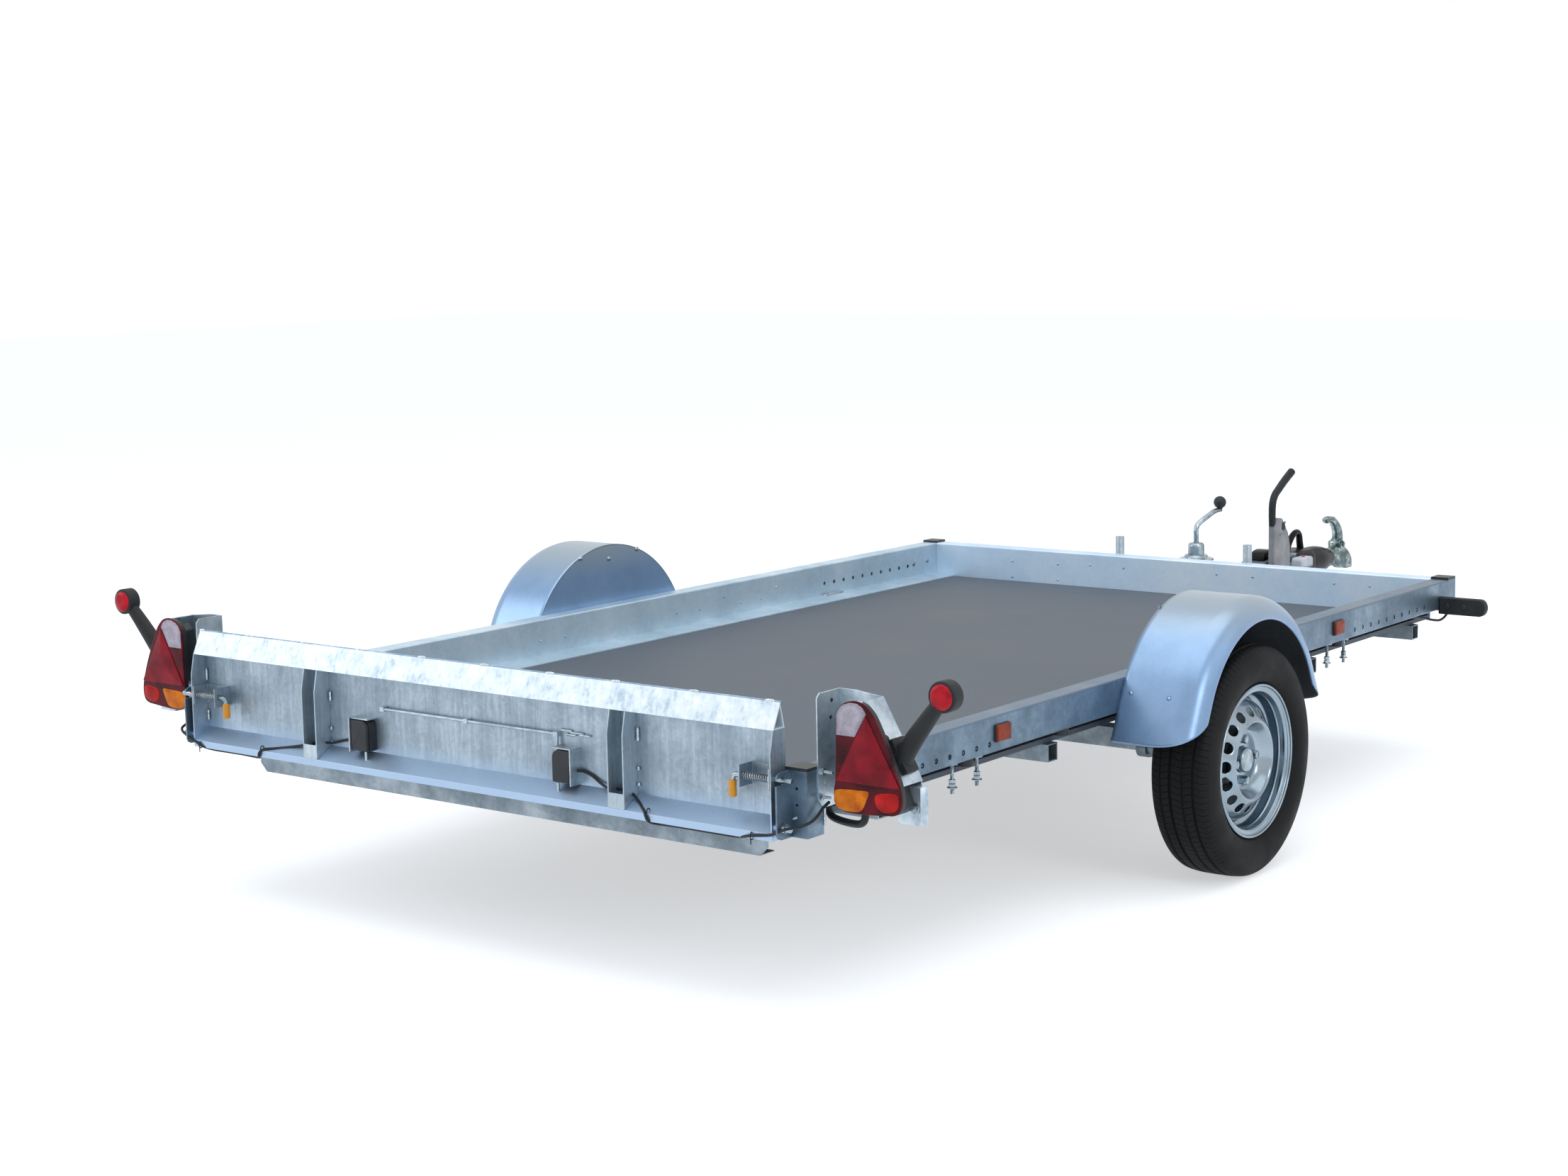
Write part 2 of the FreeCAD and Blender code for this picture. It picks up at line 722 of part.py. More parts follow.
def tangent(angle):
    return Size(math.tan(math.radians(float(angle))), "tan(%s)" % angle.rule)


def fenders():
    """Pressed guard over each wheel: a rounded trapezoid box, open below and in its outer face."""
    lean = tangent(fender_lean)
    slant = Size(1 / math.cos(math.radians(float(fender_lean))), "(1 / cos(%s))" % fender_lean.rule)

    def shape(inset, low, start, width, over, side):
        half = fender_half - slant * inset
        foot = half + lean * (fender_bottom - low)
        peak = fender_top - inset
        crest = half - lean * (peak - fender_bottom)
        body = folded("YZ_Plane", [(-foot, low), (foot, low), (crest, peak), (-crest, peak)], width)
        doc.recompute()
        top = float(peak)

        def corner(edge):
            middle = edge.CenterOfMass
            return straight(edge, (1, 0, 0)) and abs(middle.z - top) < 0.01

        soften(body, over, corner)
        doc.recompute()
        if side is not None:
            far = float(width)

            def shoulder(edge):
                box = edge.BoundBox
                return abs(box.XMin - far) < 0.01 and abs(box.XMax - far) < 0.01 and box.ZMax > float(low) + 1

            soften(body, side, shoulder)
        place(body, (start, along(axle_station), 0))
        return body

    skin = fender_metal
    outer = shape(plain(0), fender_bottom, deck_half, fender_width, fender_round, fender_shoulder)
    inner = shape(skin, fender_bottom - 8, deck_half + skin, fender_width - skin * 2, fender_round - skin,
                  fender_shoulder - skin)
    mouth = shape(fender_lip, fender_bottom - 8, deck_half + fender_width - 20, plain(40),
                  fender_round - fender_lip, None)
    curve = fender_lip
    corner = block((deck_half + fender_width - curve, along(axle_station) - fender_half - 10,
                    fender_bottom - 1),
                   (curve + 1, fender_half * 2 + 20, curve + 1))
    drum = rod((deck_half + fender_width - curve, along(axle_station) - fender_half - 20,
                fender_bottom + curve), "y",
               curve, fender_half * 2 + 40)
    guard = keep("fender_right", cut(outer, inner, mouth, cut(corner, drum)))
    other_side("fender_left", guard)


def outward(*points):
    """Points of an outline across the trailer, each measured out from the rail's outer face."""
    return [(deck_half + out, height) for out, height in points]


def lamps():
    """Pressed carrier tray with the three-cornered lamp, and a rubber-armed outline marker."""
    skin = carrier_metal
    rear = carrier_rear
    front = carrier_front
    leg = folded("YZ_Plane", [(along(rear), 433), (along(rear + 16), 417), (along(front - 12), 417),
                              (along(front), 429), (along(front), carrier_top),
                              (along(rear + 9), carrier_top),
                              (along(rear), carrier_top - 9)], skin)
    place(leg, (deck_half, 0, 0))
    back = folded("XZ_Plane", outward((skin - 0.5, 430), (skin - 0.5, carrier_top), (38, carrier_top),
                                      (102, carrier_top - 7), (191, 481), (191, 440), (158, 430)), skin,
                  backward=True)
    place(back, (0, along(front) - skin, 0))
    flange = folded("XZ_Plane", outward((101.4, carrier_top - 7.5), (190.4, 480.5), (193, 482),
                                        (104, carrier_top - 6)),
                    front - rear - 12, backward=True)
    place(flange, (0, along(rear + 12), 0))
    clamp = block((deck_half + 154, along(front - 28), 400), (52, 26, 74))
    both_sides("lamp_carriers", joined(leg, back, flange, clamp))

    face = outward((88, 636), (66, 627), (53, 605), (46, 479), (43, 444), (55, 428), (78, 424), (133, 422),
                   (180, 418),
                   (194, 425), (204, 442), (205, 457), (201, 482), (167, 552), (127, 619), (116, 632))
    lens = folded("XZ_Plane", face, 20, backward=True)
    place(lens, (0, along(lamp_rear), 0))
    tub = outward((88, 624), (64, 612), (60, 470), (58, 440), (83, 434), (178, 430), (182, 450), (174, 480),
                  (104, 612))
    house = folded("XZ_Plane", tub, 38, backward=True)
    place(house, (0, along(lamp_rear + 19), 0))
    studs = [rod((sx, along(lamp_rear + 50), sz), "y", 4, front - skin - lamp_rear - 50)
             for sx, sz in outward((83, 590), (83, 460), (143, 460))]
    both_sides("tail_lamps", joined(lens, house, *studs))

    foot = outward((148.2, 559.9), (183.2, 499.3), (195.4, 506.3), (160.3, 566.9))
    pad = folded("XZ_Plane", foot, 40, backward=True)
    place(pad, (0, along(rear + 21), 0))
    station = along(marker_station)
    arm = strut((deck_half + 175.2, along(rear + 41), 530), (marker_reach - 14, station, marker_height - 22),
                arm_radius + 6, arm_radius)
    head = rod((marker_reach, station - marker_length / 2, marker_height), "y", marker_radius, marker_length)
    lens = rod((marker_reach, station - marker_length / 2 - 5, marker_height), "y", marker_radius - 5,
               marker_length + 10)
    both_sides("marker_arms", joined(pad, arm, head, lens))

    back = along(front_marker_station)
    height = front_marker_height
    plate = block((deck_half, back, height - 24), (front_marker_reach - deck_half - 24, 26, 48))
    end = rod((front_marker_reach - 24, back, height), "y", 24, 26)
    glass = rod((front_marker_reach - 26, back + 26, height), "y", 20, 6)
    both_sides("front_markers", joined(plate, end, glass))

    plates = []
    for spot in (reflector_rear, reflector_front):
        plates.append(block((deck_half, along(spot) - reflector_wide / 2,
                             stake_height + 20 - reflector_high / 2),
                            (10, reflector_wide, reflector_high)))
    both_sides("side_reflectors", *plates)

    hangers = []
    for spot in (568, 662, 2340, 2440):
        hanger = rod((deck_half - 22, along(plain(spot)), 350), "z", 4, rail_bottom - 350)
        hangers.append(joined(hanger, rod((deck_half - 22, along(plain(spot)), 362), "z", 9, 14)))
    both_sides("clamp_rods", *hangers)

    plugs = []
    for spot in (615, 1000, 2390):
        plugs.append(rod((deck_half - 20, along(plain(spot)), rail_bottom - 15), "z", 17, 15))
    both_sides("rail_plugs", *plugs)

    inner = deck_half - 18
    outer = deck_half + 90
    rail_end = along(plain(132))
    lamp_end = along(plain(105))
    loop = bent([(inner, rail_end, rail_bottom), (inner, rail_end, 392), (outer, lamp_end, 392),
                 (outer, lamp_end, 433)], 8, 12)
    both_sides("lamp_leads", loop)


def tailgate():
    """Folded sheet gate with a triangular top tube, end plates, two ribs and a sprung bolt at each end."""
    band = gate_top - gate_band
    shelf = gate_bottom + gate_lip
    bend = shelf + gate_shelf
    depth = gate_depth
    y = along
    skin = rib_metal
    panel = folded("YZ_Plane", [(y(plain(0)), gate_bottom), (y(skin), gate_bottom), (y(skin), shelf - 1.7),
                                (y(depth), bend - 1.7), (y(depth), band), (y(depth - skin), band),
                                (y(depth - skin), bend), (y(plain(0)), shelf)], (gate_half - skin) * 2,
                   symmetric=True)
    keep("gate_panel", panel)
    outer = folded("YZ_Plane", [(y(gate_step), band), (y(depth), band), (y(gate_ridge), gate_top)],
                   gate_half * 2, symmetric=True)
    inner = folded("YZ_Plane", [(y(gate_step + 4.7), band + 3), (y(depth - 3.8), band + 3),
                                (y(gate_ridge - 0.9), gate_top - 9)],
                   gate_half * 2 + 4, symmetric=True)
    keep("gate_top_tube", cut(outer, inner))

    end = folded("YZ_Plane", [(y(plain(0)), gate_bottom), (y(depth), gate_bottom), (y(depth), band),
                              (y(gate_step), band),
                              (y(plain(0)), gate_kink)], skin)
    place(end, (gate_half - skin, 0, 0))
    pivot = rod((gate_half - skin, along(pivot_station), pivot_height), "x", pivot_radius,
                pin_reach + 20 - gate_half + skin)
    hole = rod((gate_half - skin - 1, along(latch_station), latch_height), "x", latch_radius + running_gap,
               skin + 2)
    both_sides("gate_ends", cut(joined(end, pivot), hole))

    wide = rib_width
    side = folded("YZ_Plane", [(y(plain(0)), shelf + 0.2), (y(depth - skin - 0.1), bend + 0.2),
                               (y(depth - skin - 0.1), band - 0.1),
                               (y(gate_step), band - 0.1), (y(plain(0)), gate_kink)], wide)
    place(side, (rib_centre - wide / 2, 0, 0))
    hollow = block((rib_centre - wide / 2 + skin, along(skin), shelf - 20), (wide - skin * 2, depth, 260))
    slit = block((rib_centre - wide / 2 + skin, along(plain(-2)), shelf + 32), (wide - skin * 2, depth, 260))
    both_sides("gate_ribs", cut(side, hollow, slit))

    low = latch_height - 22
    length = gate_half - 4 - (latch_inner - 5)
    strip = block((latch_inner - 5, along(depth - skin * 2), low), (length, skin, 44))
    ears = []
    for ear in (latch_inner - 5, gate_half - 7):
        ears.append(block((ear, along(plain(0)), low), (skin, depth - skin, 44)))
    bore = rod((latch_inner - 10, along(latch_station), latch_height), "x", latch_radius + running_gap,
               length + 10)
    both_sides("latch_brackets", cut(joined(strip, *ears), bore))
    coil = rod((latch_inner - 2, along(latch_station), latch_height), "x", 8,
               gate_half - 13 - latch_inner + 2)
    inside = rod((latch_inner - 3, along(latch_station), latch_height), "x", latch_radius + 0.7, length)
    coil = keep("latch_spring_right", cut(coil, inside))
    other_side("latch_spring_left", coil)
    seat = along(latch_station)
    elbow = latch_inner - 29
    pin = bent([(pin_reach + 23, seat, latch_height), (elbow, seat, latch_height),
                (elbow, seat, latch_height - 40)],
               latch_radius, 12)
    collar = rod((gate_half - 13, seat, latch_height), "x", 9, 4)
    grip = rod((elbow, seat, latch_height - 46), "z", 8.5, 34)
    pin = keep("latch_pin_right", joined(pin, collar, grip))
    other_side("latch_pin_left", pin)

    web = along(depth - skin)
    low = plate_lamp_height
    wide = plate_lamp_wide
    places = ((1, plate_lamp_right), (-1, plate_lamp_left))
    lamps = []
    holders = []
    for side, edge in places:
        lamps.append(block(((edge + wide / 2) * side - wide / 2, web - 27, low), (wide, 27, 70)))
        cheek = block(((edge + wide + 1.8) * side - 1.5, web - 32, low - 3), (3, 32, 77))
        reach = wide + 3.3
        top = block(((edge + reach / 2) * side - reach / 2, web - 27, low + 71), (reach, 27, 3))
        holders.append(joined(cheek, top))
    keep("plate_lamps", joined(*lamps))
    level = low + 70 + plate_rod_rise
    bar = rod((-plate_rod_left, web - 8, level), "x", 3, plate_rod_left + plate_rod_right)
    pin = rod((plate_rod_right, web - 8, low + 74.2), "z", 3, plate_rod_rise - 0.2)
    feet = [block((foot, web - 12, level - 5), (12, 12, 10))
            for foot in (-plate_rod_left, plain(-4), plate_rod_right - 8)]
    keep("plate_rod", joined(bar, pin, *feet, *holders))


def drawbar():
    """Square tube from the tilt pin to the overrun housing, with the cradle hoop and the jockey leg."""
    low = tilt_height - drawbar_height / 2
    half = drawbar_width / 2
    wall = drawbar_wall
    tube = block((-half, along(axle_station), low),
                 (drawbar_width, drawbar_front - axle_station, drawbar_height))
    eye = rod((-half, along(axle_station), tilt_height), "x", drawbar_height / 2, drawbar_width)
    inside = block((-half + wall, along(axle_station + 40), low + wall),
                   (drawbar_width - wall * 2, drawbar_front - axle_station, drawbar_height - wall * 2))
    bore = rod((-half - 1, along(axle_station), tilt_height), "x", tilt_radius + running_gap,
               drawbar_width + 2)
    keep("drawbar_tube", cut(joined(tube, eye), inside, bore))

    y = along(hoop_station)
    level = low - hoop_radius
    hoop = bent([(-hoop_half, y, hoop_top + 4), (-hoop_half, y, level), (hoop_half, y, level),
                 (hoop_half, y, hoop_top + 4)],
                hoop_radius, hoop_bend)
    keep("cradle_hoop", hoop)

    x = -jockey_side
    y = along(jockey_station)
    grip = rod((x, y, low + 4), "z", jockey_radius + 8, 42)
    arm = block((x, y - 28, low + 4), (jockey_side - half, 56, 42))
    bore = rod((x, y, low + 3), "z", jockey_radius + running_gap, 44)
    keep("jockey_clamp", cut(joined(grip, arm), bore))
    shell = rod((x, y, jockey_bottom), "z", jockey_radius, jockey_top - 12 - jockey_bottom)
    dome = strut((x, y, jockey_top - 12), (x, y, jockey_top), jockey_radius, jockey_radius - 10)
    skirt = strut((x, y, jockey_top - 54), (x, y, jockey_top - 36), 56, jockey_radius + 5)
    fork = jockey_wheel_radius * 2 + 6
    stem = rod((x, y, fork), "z", jockey_radius - 5, jockey_bottom - fork + 1)
    yoke = block((x - 34, y - 24, fork), (68, 48, 6))
    sides = [block((x + side, y - 16, jockey_wheel_radius - 14),
                   (6, 32, fork - jockey_wheel_radius + 15)) for side in (-34, 28)]
    well = rod((x, y, jockey_top - 34), "z", crank_radius + running_gap, 40)
    keep("jockey_leg", cut(joined(shell, dome, skirt, stem, yoke, *sides), well))
    tyre = rod((x - jockey_wheel_width / 2, y, jockey_wheel_radius), "x", jockey_wheel_radius,
               jockey_wheel_width)
    pin = rod((x - 28, y, jockey_wheel_radius), "x", 8, 56)
    wheel = keep("jockey_wheel", joined(tyre, pin))
    top = crank_top
    crank = bent([(x, y, jockey_top - 30), (x, y, jockey_top + 42), (x + 17, y + crank_reach - 47, top - 3),
                  (x + 28, y + crank_reach - 3, top)],
                 crank_radius, 26)
    keep("jockey_crank", crank)
    knob = ball((x + 28, y + crank_reach - 10, top + crank_radius + knob_radius + 0.2), knob_radius)
    neck = rod((x + 28, y + crank_reach - 10, top + crank_radius + 0.1), "z", 8, 10)
    keep("jockey_knob", joined(knob, neck))


def overrun():
    """Overrun brake: cast housing, sliding coupling with its boot, and the hand lever."""
    low = tilt_height - drawbar_height / 2 - 2
    top = tilt_height + drawbar_height / 2 + 0.5
    half = housing_width / 2
    end = along(drawbar_front) + 1
    side = drawbar_width / 2 + 0.2
    cover = overrun_height + 52
    body = folded("YZ_Plane", [(along(housing_rear), top), (along(housing_rear + 40), cover - 10),
                               (along(housing_rear + 90), cover), (along(housing_front), cover),
                               (along(housing_front), low), (end, low), (end, top)], half * 2, symmetric=True)
    plates = [block((edge, along(housing_rear), low),
                    (half - side, drawbar_front - housing_rear + 2, drawbar_height + 3))
              for edge in (side, -half)]
    pin = rod((half - 3, along(brake_station), brake_pivot), "x", 8, brake_side - half + 5)
    bore = rod((0, along(housing_front - 190), overrun_height), "y", shaft_radius + running_gap, 200)
    keep("overrun_housing", cut(joined(body, pin, *plates), bore))
    hood = block((-30, along(housing_rear + 90), cover), (60, 55, 25))
    arch = along(housing_rear + 350)
    loop = bent([(0, arch - 55, cover - 4), (0, arch, cover + 72), (0, arch + 30, cover - 4)], 6, 12)
    slab = block((-20, arch - 80, cover - 10), (40, 130, 10))
    keep("brake_cable", joined(hood, cut(loop, slab)))
    holder = along(housing_rear + 205)
    shelf = block((half, holder + 15, overrun_height + 16), (12, 50, 8))
    plug = block((half + 12, holder, overrun_height + 10), (40, 85, 34))
    keep("plug_holder", joined(shelf, plug))

    start = housing_front
    folds = 9
    end = bellows_front
    length = float(end) - float(start)
    outline = []
    for index in range(folds * 2 + 1):
        part = index / (folds * 2)
        radius = float(bellows_radius) * (1 - max(0.0, (part - 0.35) / 0.65) ** 2 * 0.48)
        if index % 2:
            radius = radius - 4
        outline.append((plain(round(radius, 2)), start - housing_front + round(part * length, 2)))
    inner = [(shaft_radius + 0.3, end - start), (shaft_radius + 0.3, end - start - 6),
             (plain(30), end - start - 40),
             (plain(42), end - start - 90), (plain(42), plain(0))]
    boot = spun("XY_Plane", outline + inner, "V_Axis", (0, along(start), overrun_height))
    keep("boot", boot)

    station = along(ball_station)
    shaft = rod((0, along(housing_front - 110), overrun_height), "y", shaft_radius,
                ball_station - housing_front + 80)
    cup = ball((0, station, ball_height), cup_radius)
    head = folded("YZ_Plane", [(along(end + 6), ball_height - 14), (station, ball_height - 14),
                               (station + 20, ball_height + 20),
                               (station - 10, ball_height + 45), (station - 40, overrun_height + 26),
                               (along(end + 6), overrun_height + 24)],
                  plain(56), symmetric=True)
    slab = block((-60, station - 60, ball_height - 74), (120, 120, 60))
    socket = ball((0, station, ball_height), ball_radius)
    throat = rod((0, station, ball_height - 40), "z", ball_radius, 40)
    pivot = station - 33
    ears = [block((edge, pivot - 12, handle_pivot - 30), (5, 24, 40)) for edge in (19, -24)]
    pin = rod((-22, pivot, handle_pivot), "x", handle_pin, 44)
    keep("coupling", cut(joined(shaft, cup, head, pin, *ears), slab, socket, throat))
    handle = folded("YZ_Plane", [(pivot + 10, handle_pivot), (pivot + 4, handle_pivot + 36),
                                 (pivot - 12, handle_pivot + 71), (pivot - 38, handle_pivot + 96),
                                 (pivot - 66, handle_pivot + 103), (pivot - 96, handle_pivot + 94),
                                 (pivot - 90, handle_pivot + 80), (pivot - 65, handle_pivot + 88),
                                 (pivot - 48, handle_pivot + 82), (pivot - 32, handle_pivot + 63),
                                 (pivot - 22, handle_pivot + 32), (pivot - 10, handle_pivot)],
                    plain(34), symmetric=True)
    root = rod((-17, pivot, handle_pivot), "x", 10, 34)
    bore = rod((-18, pivot, handle_pivot), "x", handle_pin + running_gap, 36)
    keep("coupling_handle", cut(joined(handle, root), bore))

    inner = brake_side - brake_width
    base = along(brake_station)
    channel = folded("YZ_Plane", [(base - 60, brake_height - 22), (base - 60, brake_pivot - 20),
                                  (base - 30, brake_pivot - 42), (base + 25, brake_pivot - 42),
                                  (base + 54, brake_pivot - 15), (base + 54, brake_pivot),
                                  (base + 44, brake_pivot + 97), (base + 16, brake_pivot + 122),
                                  (base - 23, brake_height - 27)], brake_width)
    place(channel, (inner, 0, 0))
    hollow = block((inner + 3, base - 57, brake_pivot - 60), (brake_width - 6, 150, 300))
    middle = inner + brake_width / 2
    grip = bent([(middle, base - 56, brake_pivot + 140), (middle, base - 58, brake_pivot + 222),
                 (middle, base, brake_pivot + 263), (middle, base + 80, brake_pivot + 309)], 11, 26)
    bore = rod((inner - 1, base, brake_pivot), "x", 8 + running_gap, brake_width + 2)
    steel = cut(channel, hollow, bore)
    keep("brake_lever", steel)
    keep("brake_grip", cut(grip,
                           block((inner - 5, base - 60.2, brake_pivot + 100), (brake_width + 10, 3.4, 69)),
                           block((inner - 5, base - 200, brake_pivot), (8, 400, 171)),
                           block((inner + brake_width - 3, base - 200, brake_pivot), (8, 400, 171))))


floor_panel()
side_rail()
front_rail()
corner_posts()
floor_beams()
axle()
wheels()
fenders()
lamps()
tailgate()
drawbar()
overrun()
doc.recompute()

for item in doc.Objects:
    if "Invalid" in item.State or "Error" in item.State:
        raise RuntimeError("not built: %s %s" % (item.Label, item.State))
os.makedirs("parts", exist_ok=True)
for node in nodes:
    if node.Shape.isNull() or not node.Shape.isValid() or node.Shape.Volume <= 0:
        raise RuntimeError("not a sound solid: %s" % node.Label)
    node.Shape.exportStep("parts/%s.step" % node.Label)
    print(node.Label, len(node.Shape.Solids), round(node.Shape.Volume))
print(len(nodes), "nodes")
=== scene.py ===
import math

import bpy
import numpy as np
from mathutils import Matrix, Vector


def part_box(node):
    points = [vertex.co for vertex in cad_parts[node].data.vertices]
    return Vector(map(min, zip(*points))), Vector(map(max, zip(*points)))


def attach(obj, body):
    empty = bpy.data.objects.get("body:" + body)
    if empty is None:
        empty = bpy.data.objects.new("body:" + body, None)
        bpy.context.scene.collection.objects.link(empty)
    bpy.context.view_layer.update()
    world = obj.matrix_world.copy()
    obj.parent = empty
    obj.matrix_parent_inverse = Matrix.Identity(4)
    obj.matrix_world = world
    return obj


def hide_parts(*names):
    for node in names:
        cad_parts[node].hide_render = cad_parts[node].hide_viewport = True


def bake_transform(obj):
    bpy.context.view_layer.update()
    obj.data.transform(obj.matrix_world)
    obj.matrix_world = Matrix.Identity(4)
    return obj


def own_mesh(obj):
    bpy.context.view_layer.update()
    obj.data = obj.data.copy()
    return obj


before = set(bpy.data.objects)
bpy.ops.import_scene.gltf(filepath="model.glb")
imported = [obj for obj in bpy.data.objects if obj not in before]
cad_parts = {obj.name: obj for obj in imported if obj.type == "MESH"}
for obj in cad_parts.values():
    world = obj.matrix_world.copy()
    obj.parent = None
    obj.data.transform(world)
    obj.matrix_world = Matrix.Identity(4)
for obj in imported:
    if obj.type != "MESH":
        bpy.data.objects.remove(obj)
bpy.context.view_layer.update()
print("frame loaded:", len(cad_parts), "nodes")

mm = 0.001
originStation = 2163        # stations are millimetres forward from the tailgate's rear face
railFace = 902              # the side rail's outer face, in X
railInside = 850            # its inner face
axleStation = 1515
rightAndLeft = (1, -1)
outward = {"Right": 1, "Left": -1}
faceAxis = {1: "+x", -1: "-x"}


def at(x, station, z):
    # one point from millimetres across, along and up
    return np.array([x, station - originStation, z], float) * mm


def line(points):
    # many such points, as rows
    return (np.array(points, float) - [0, originStation, 0]) * mm


# Materials

def linear(hexText):
    # sRGB hex to linear light: below 0.04045 a straight share, above it the 2.4 power curve
    c = np.array([int(hexText[i:i + 2], 16) for i in (1, 3, 5)]) / 255
    c = np.where(c <= 0.04045, c / 12.92, ((c + 0.055) / 1.055) ** 2.4)
    return (*c.tolist(), 1.0)


def addNode(tree, kind, inputs=None, stops=(), **settings):
    # one shader node with its settings; an input takes a socket or a plain value
    node = tree.nodes.new("ShaderNode" + kind)
    for key, value in settings.items():
        setattr(node, key, value)
    for key, value in (inputs or {}).items():
        if isinstance(value, bpy.types.NodeSocket):
            tree.links.new(value, node.inputs[key])
        else:
            node.inputs[key].default_value = value
    while stops and len(node.color_ramp.elements) < len(stops):
        node.color_ramp.elements.new(0.5)
    for stop, (place, hexText) in enumerate(stops):
        node.color_ramp.elements[stop].position = place
        node.color_ramp.elements[stop].color = linear(hexText)
    return node


def startMaterial(name, sockets):
    # an empty material with its shader and its object coordinates
    material = bpy.data.materials.new(name)
    material.use_nodes = True
    tree = material.node_tree
    tree.nodes.clear()
    shader = addNode(tree, "BsdfPrincipled", sockets)
    addNode(tree, "OutputMaterial", {"Surface": shader.outputs[0]})
    return material, tree, shader, addNode(tree, "TexCoord").outputs["Object"]


def noise(tree, place, size, detail, rough=0.5):
    # fractal noise whose largest cells are so many millimetres across
    return addNode(tree, "TexNoise", {"Vector": place, "Scale": 1 / (size * mm), "Detail": detail,
                                      "Roughness": rough}).outputs["Fac"]


def between(tree, share, first, second):
    # first * (1 - share) + second * share
    return addNode(tree, "Mix", {0: share, 2: first, 3: second}).outputs[0]


def ramp(tree, share, *stops):
    # a colour that follows the share from stop to stop
    return addNode(tree, "ValToRGB", {"Fac": share}, stops=stops).outputs["Color"]


def finish(tree, shader, colour, height, relief, depth, tone=None, rough=None):
    # the shader's colour and its bump, depth in millimetres; where a roughness is given, the roughness
    # goes from the first to the second value while the tone goes from 0.3 to 0.7
    bump = addNode(tree, "Bump", {"Height": height, "Strength": relief, "Distance": depth * mm})
    tree.links.new(colour, shader.inputs["Base Color"])
    tree.links.new(bump.outputs[0], shader.inputs["Normal"])
    if rough:
        gloss = addNode(tree, "MapRange", {"Value": tone, "From Min": 0.3, "From Max": 0.7,
                                           "To Min": rough[0], "To Max": rough[1]})
        tree.links.new(gloss.outputs[0], shader.inputs["Roughness"])


def galvanised(name, dull, middle, pale, rough=(0.34, 0.5), crystal=7, cloud=140, run=None,
               metallic=0.82, relief=0.2, lift=0.5, speckle=0.08, top=None, along="Z"):
    # hot-dip galvanised steel: dull metal with zinc crystals, soft clouds and, on upright
    # sheets, faint runs where the zinc drained; sizes are in millimetres; the first roughness
    # is the palest zinc's
    material, tree, shader, place = startMaterial(name, {"Metallic": metallic})
    crystals = addNode(tree, "TexVoronoi", {"Vector": place, "Scale": 1 / (crystal * mm)})
    clouds = noise(tree, place, cloud, 6.0, 0.62)
    if run:
        scale = [1 / (run * mm * k) for k in (1, 1, 14)]
        thin = addNode(tree, "Mapping", {"Vector": place, "Scale": scale})
        clouds = between(tree, 0.4, clouds, noise(tree, thin.outputs[0], 1 / mm, 4.0, 0.6))
    fine = between(tree, speckle, clouds, crystals.outputs["Color"])
    fine = between(tree, 0.08, fine, noise(tree, place, 2.2, 2.0))
    colour = ramp(tree, fine, (0.30, dull), (lift, middle), (0.70, pale))
    if top:
        # another tone that takes over between two places along one axis
        low, high, other = top
        spot = addNode(tree, "SeparateXYZ", {"Vector": place}).outputs[along]
        share = addNode(tree, "MapRange", {"Value": spot, "From Min": low, "From Max": high},
                        interpolation_type="SMOOTHSTEP").outputs[0]
        colour = addNode(tree, "MixRGB", {"Fac": share, "Color1": colour,
                                          "Color2": linear(other)}).outputs[0]
    finish(tree, shader, colour, fine, relief, 0.5, fine, rough[::-1])
    return material


def moulded(name, deep, pale, rough=0.5, relief=0.3, coat=0.0, sheen=0.3):
    # moulded rubber or plastic: one colour with a slow change of tone and a fine texture
    material, tree, shader, place = startMaterial(name, {
        "Roughness": rough, "IOR": 1.5, "Coat Weight": coat, "Coat Roughness": 0.08,
        "Specular IOR Level": sheen})
    fine = noise(tree, place, 1.2, 3.0)
    both = between(tree, 0.35, noise(tree, place, 60, 4.0), fine)
    finish(tree, shader, ramp(tree, both, (0.32, deep), (0.68, pale)), fine, relief, 0.15)
    return material


def cells(tree, place, size, metric, unevenness):
    # the distance to the nearest point of a grid of cells, by the given metric
    return addNode(tree, "TexVoronoi", {"Vector": place, "Scale": 1 / (size * mm),
                                        "Randomness": unevenness},
                   distance=metric).outputs["Distance"]


def lensPlastic(name, deep, pale, pitch=5.0, spread=0.35):
    # injection-moulded acrylic: clear gloss over square optics; cell by cell the colour swings between deep
    # and pale, painted glints of the optics, while the cells' bump is their real form
    material, tree, shader, place = startMaterial(name, {
        "Roughness": 0.12, "IOR": 1.49, "Specular IOR Level": 0.14})
    cell = cells(tree, place, pitch, "CHEBYCHEV", 0.12)
    both = between(tree, spread, noise(tree, place, 38, 2.0), cell)
    finish(tree, shader, ramp(tree, both, (0.28, deep), (0.62, pale)), cell, 0.3, 0.5)
    return material


def filmPlywood():
    # film-faced birch plywood: dark phenolic film pressed on a wire mesh, satin, dusty in patches
    material, tree, shader, place = startMaterial("filmFacedPlywood", {"IOR": 1.5})
    mesh = cells(tree, place, 4.2, "MANHATTAN", 0.0)
    dust = noise(tree, place, 420, 7.0, 0.55)
    tone = between(tree, 0.4, dust, noise(tree, place, 3, 2.0))
    colour = ramp(tree, tone, (0.3, "#3F4750"), (0.7, "#555E69"))
    finish(tree, shader, colour, mesh, 0.35, 0.3, dust, (0.5, 0.62))
    return material


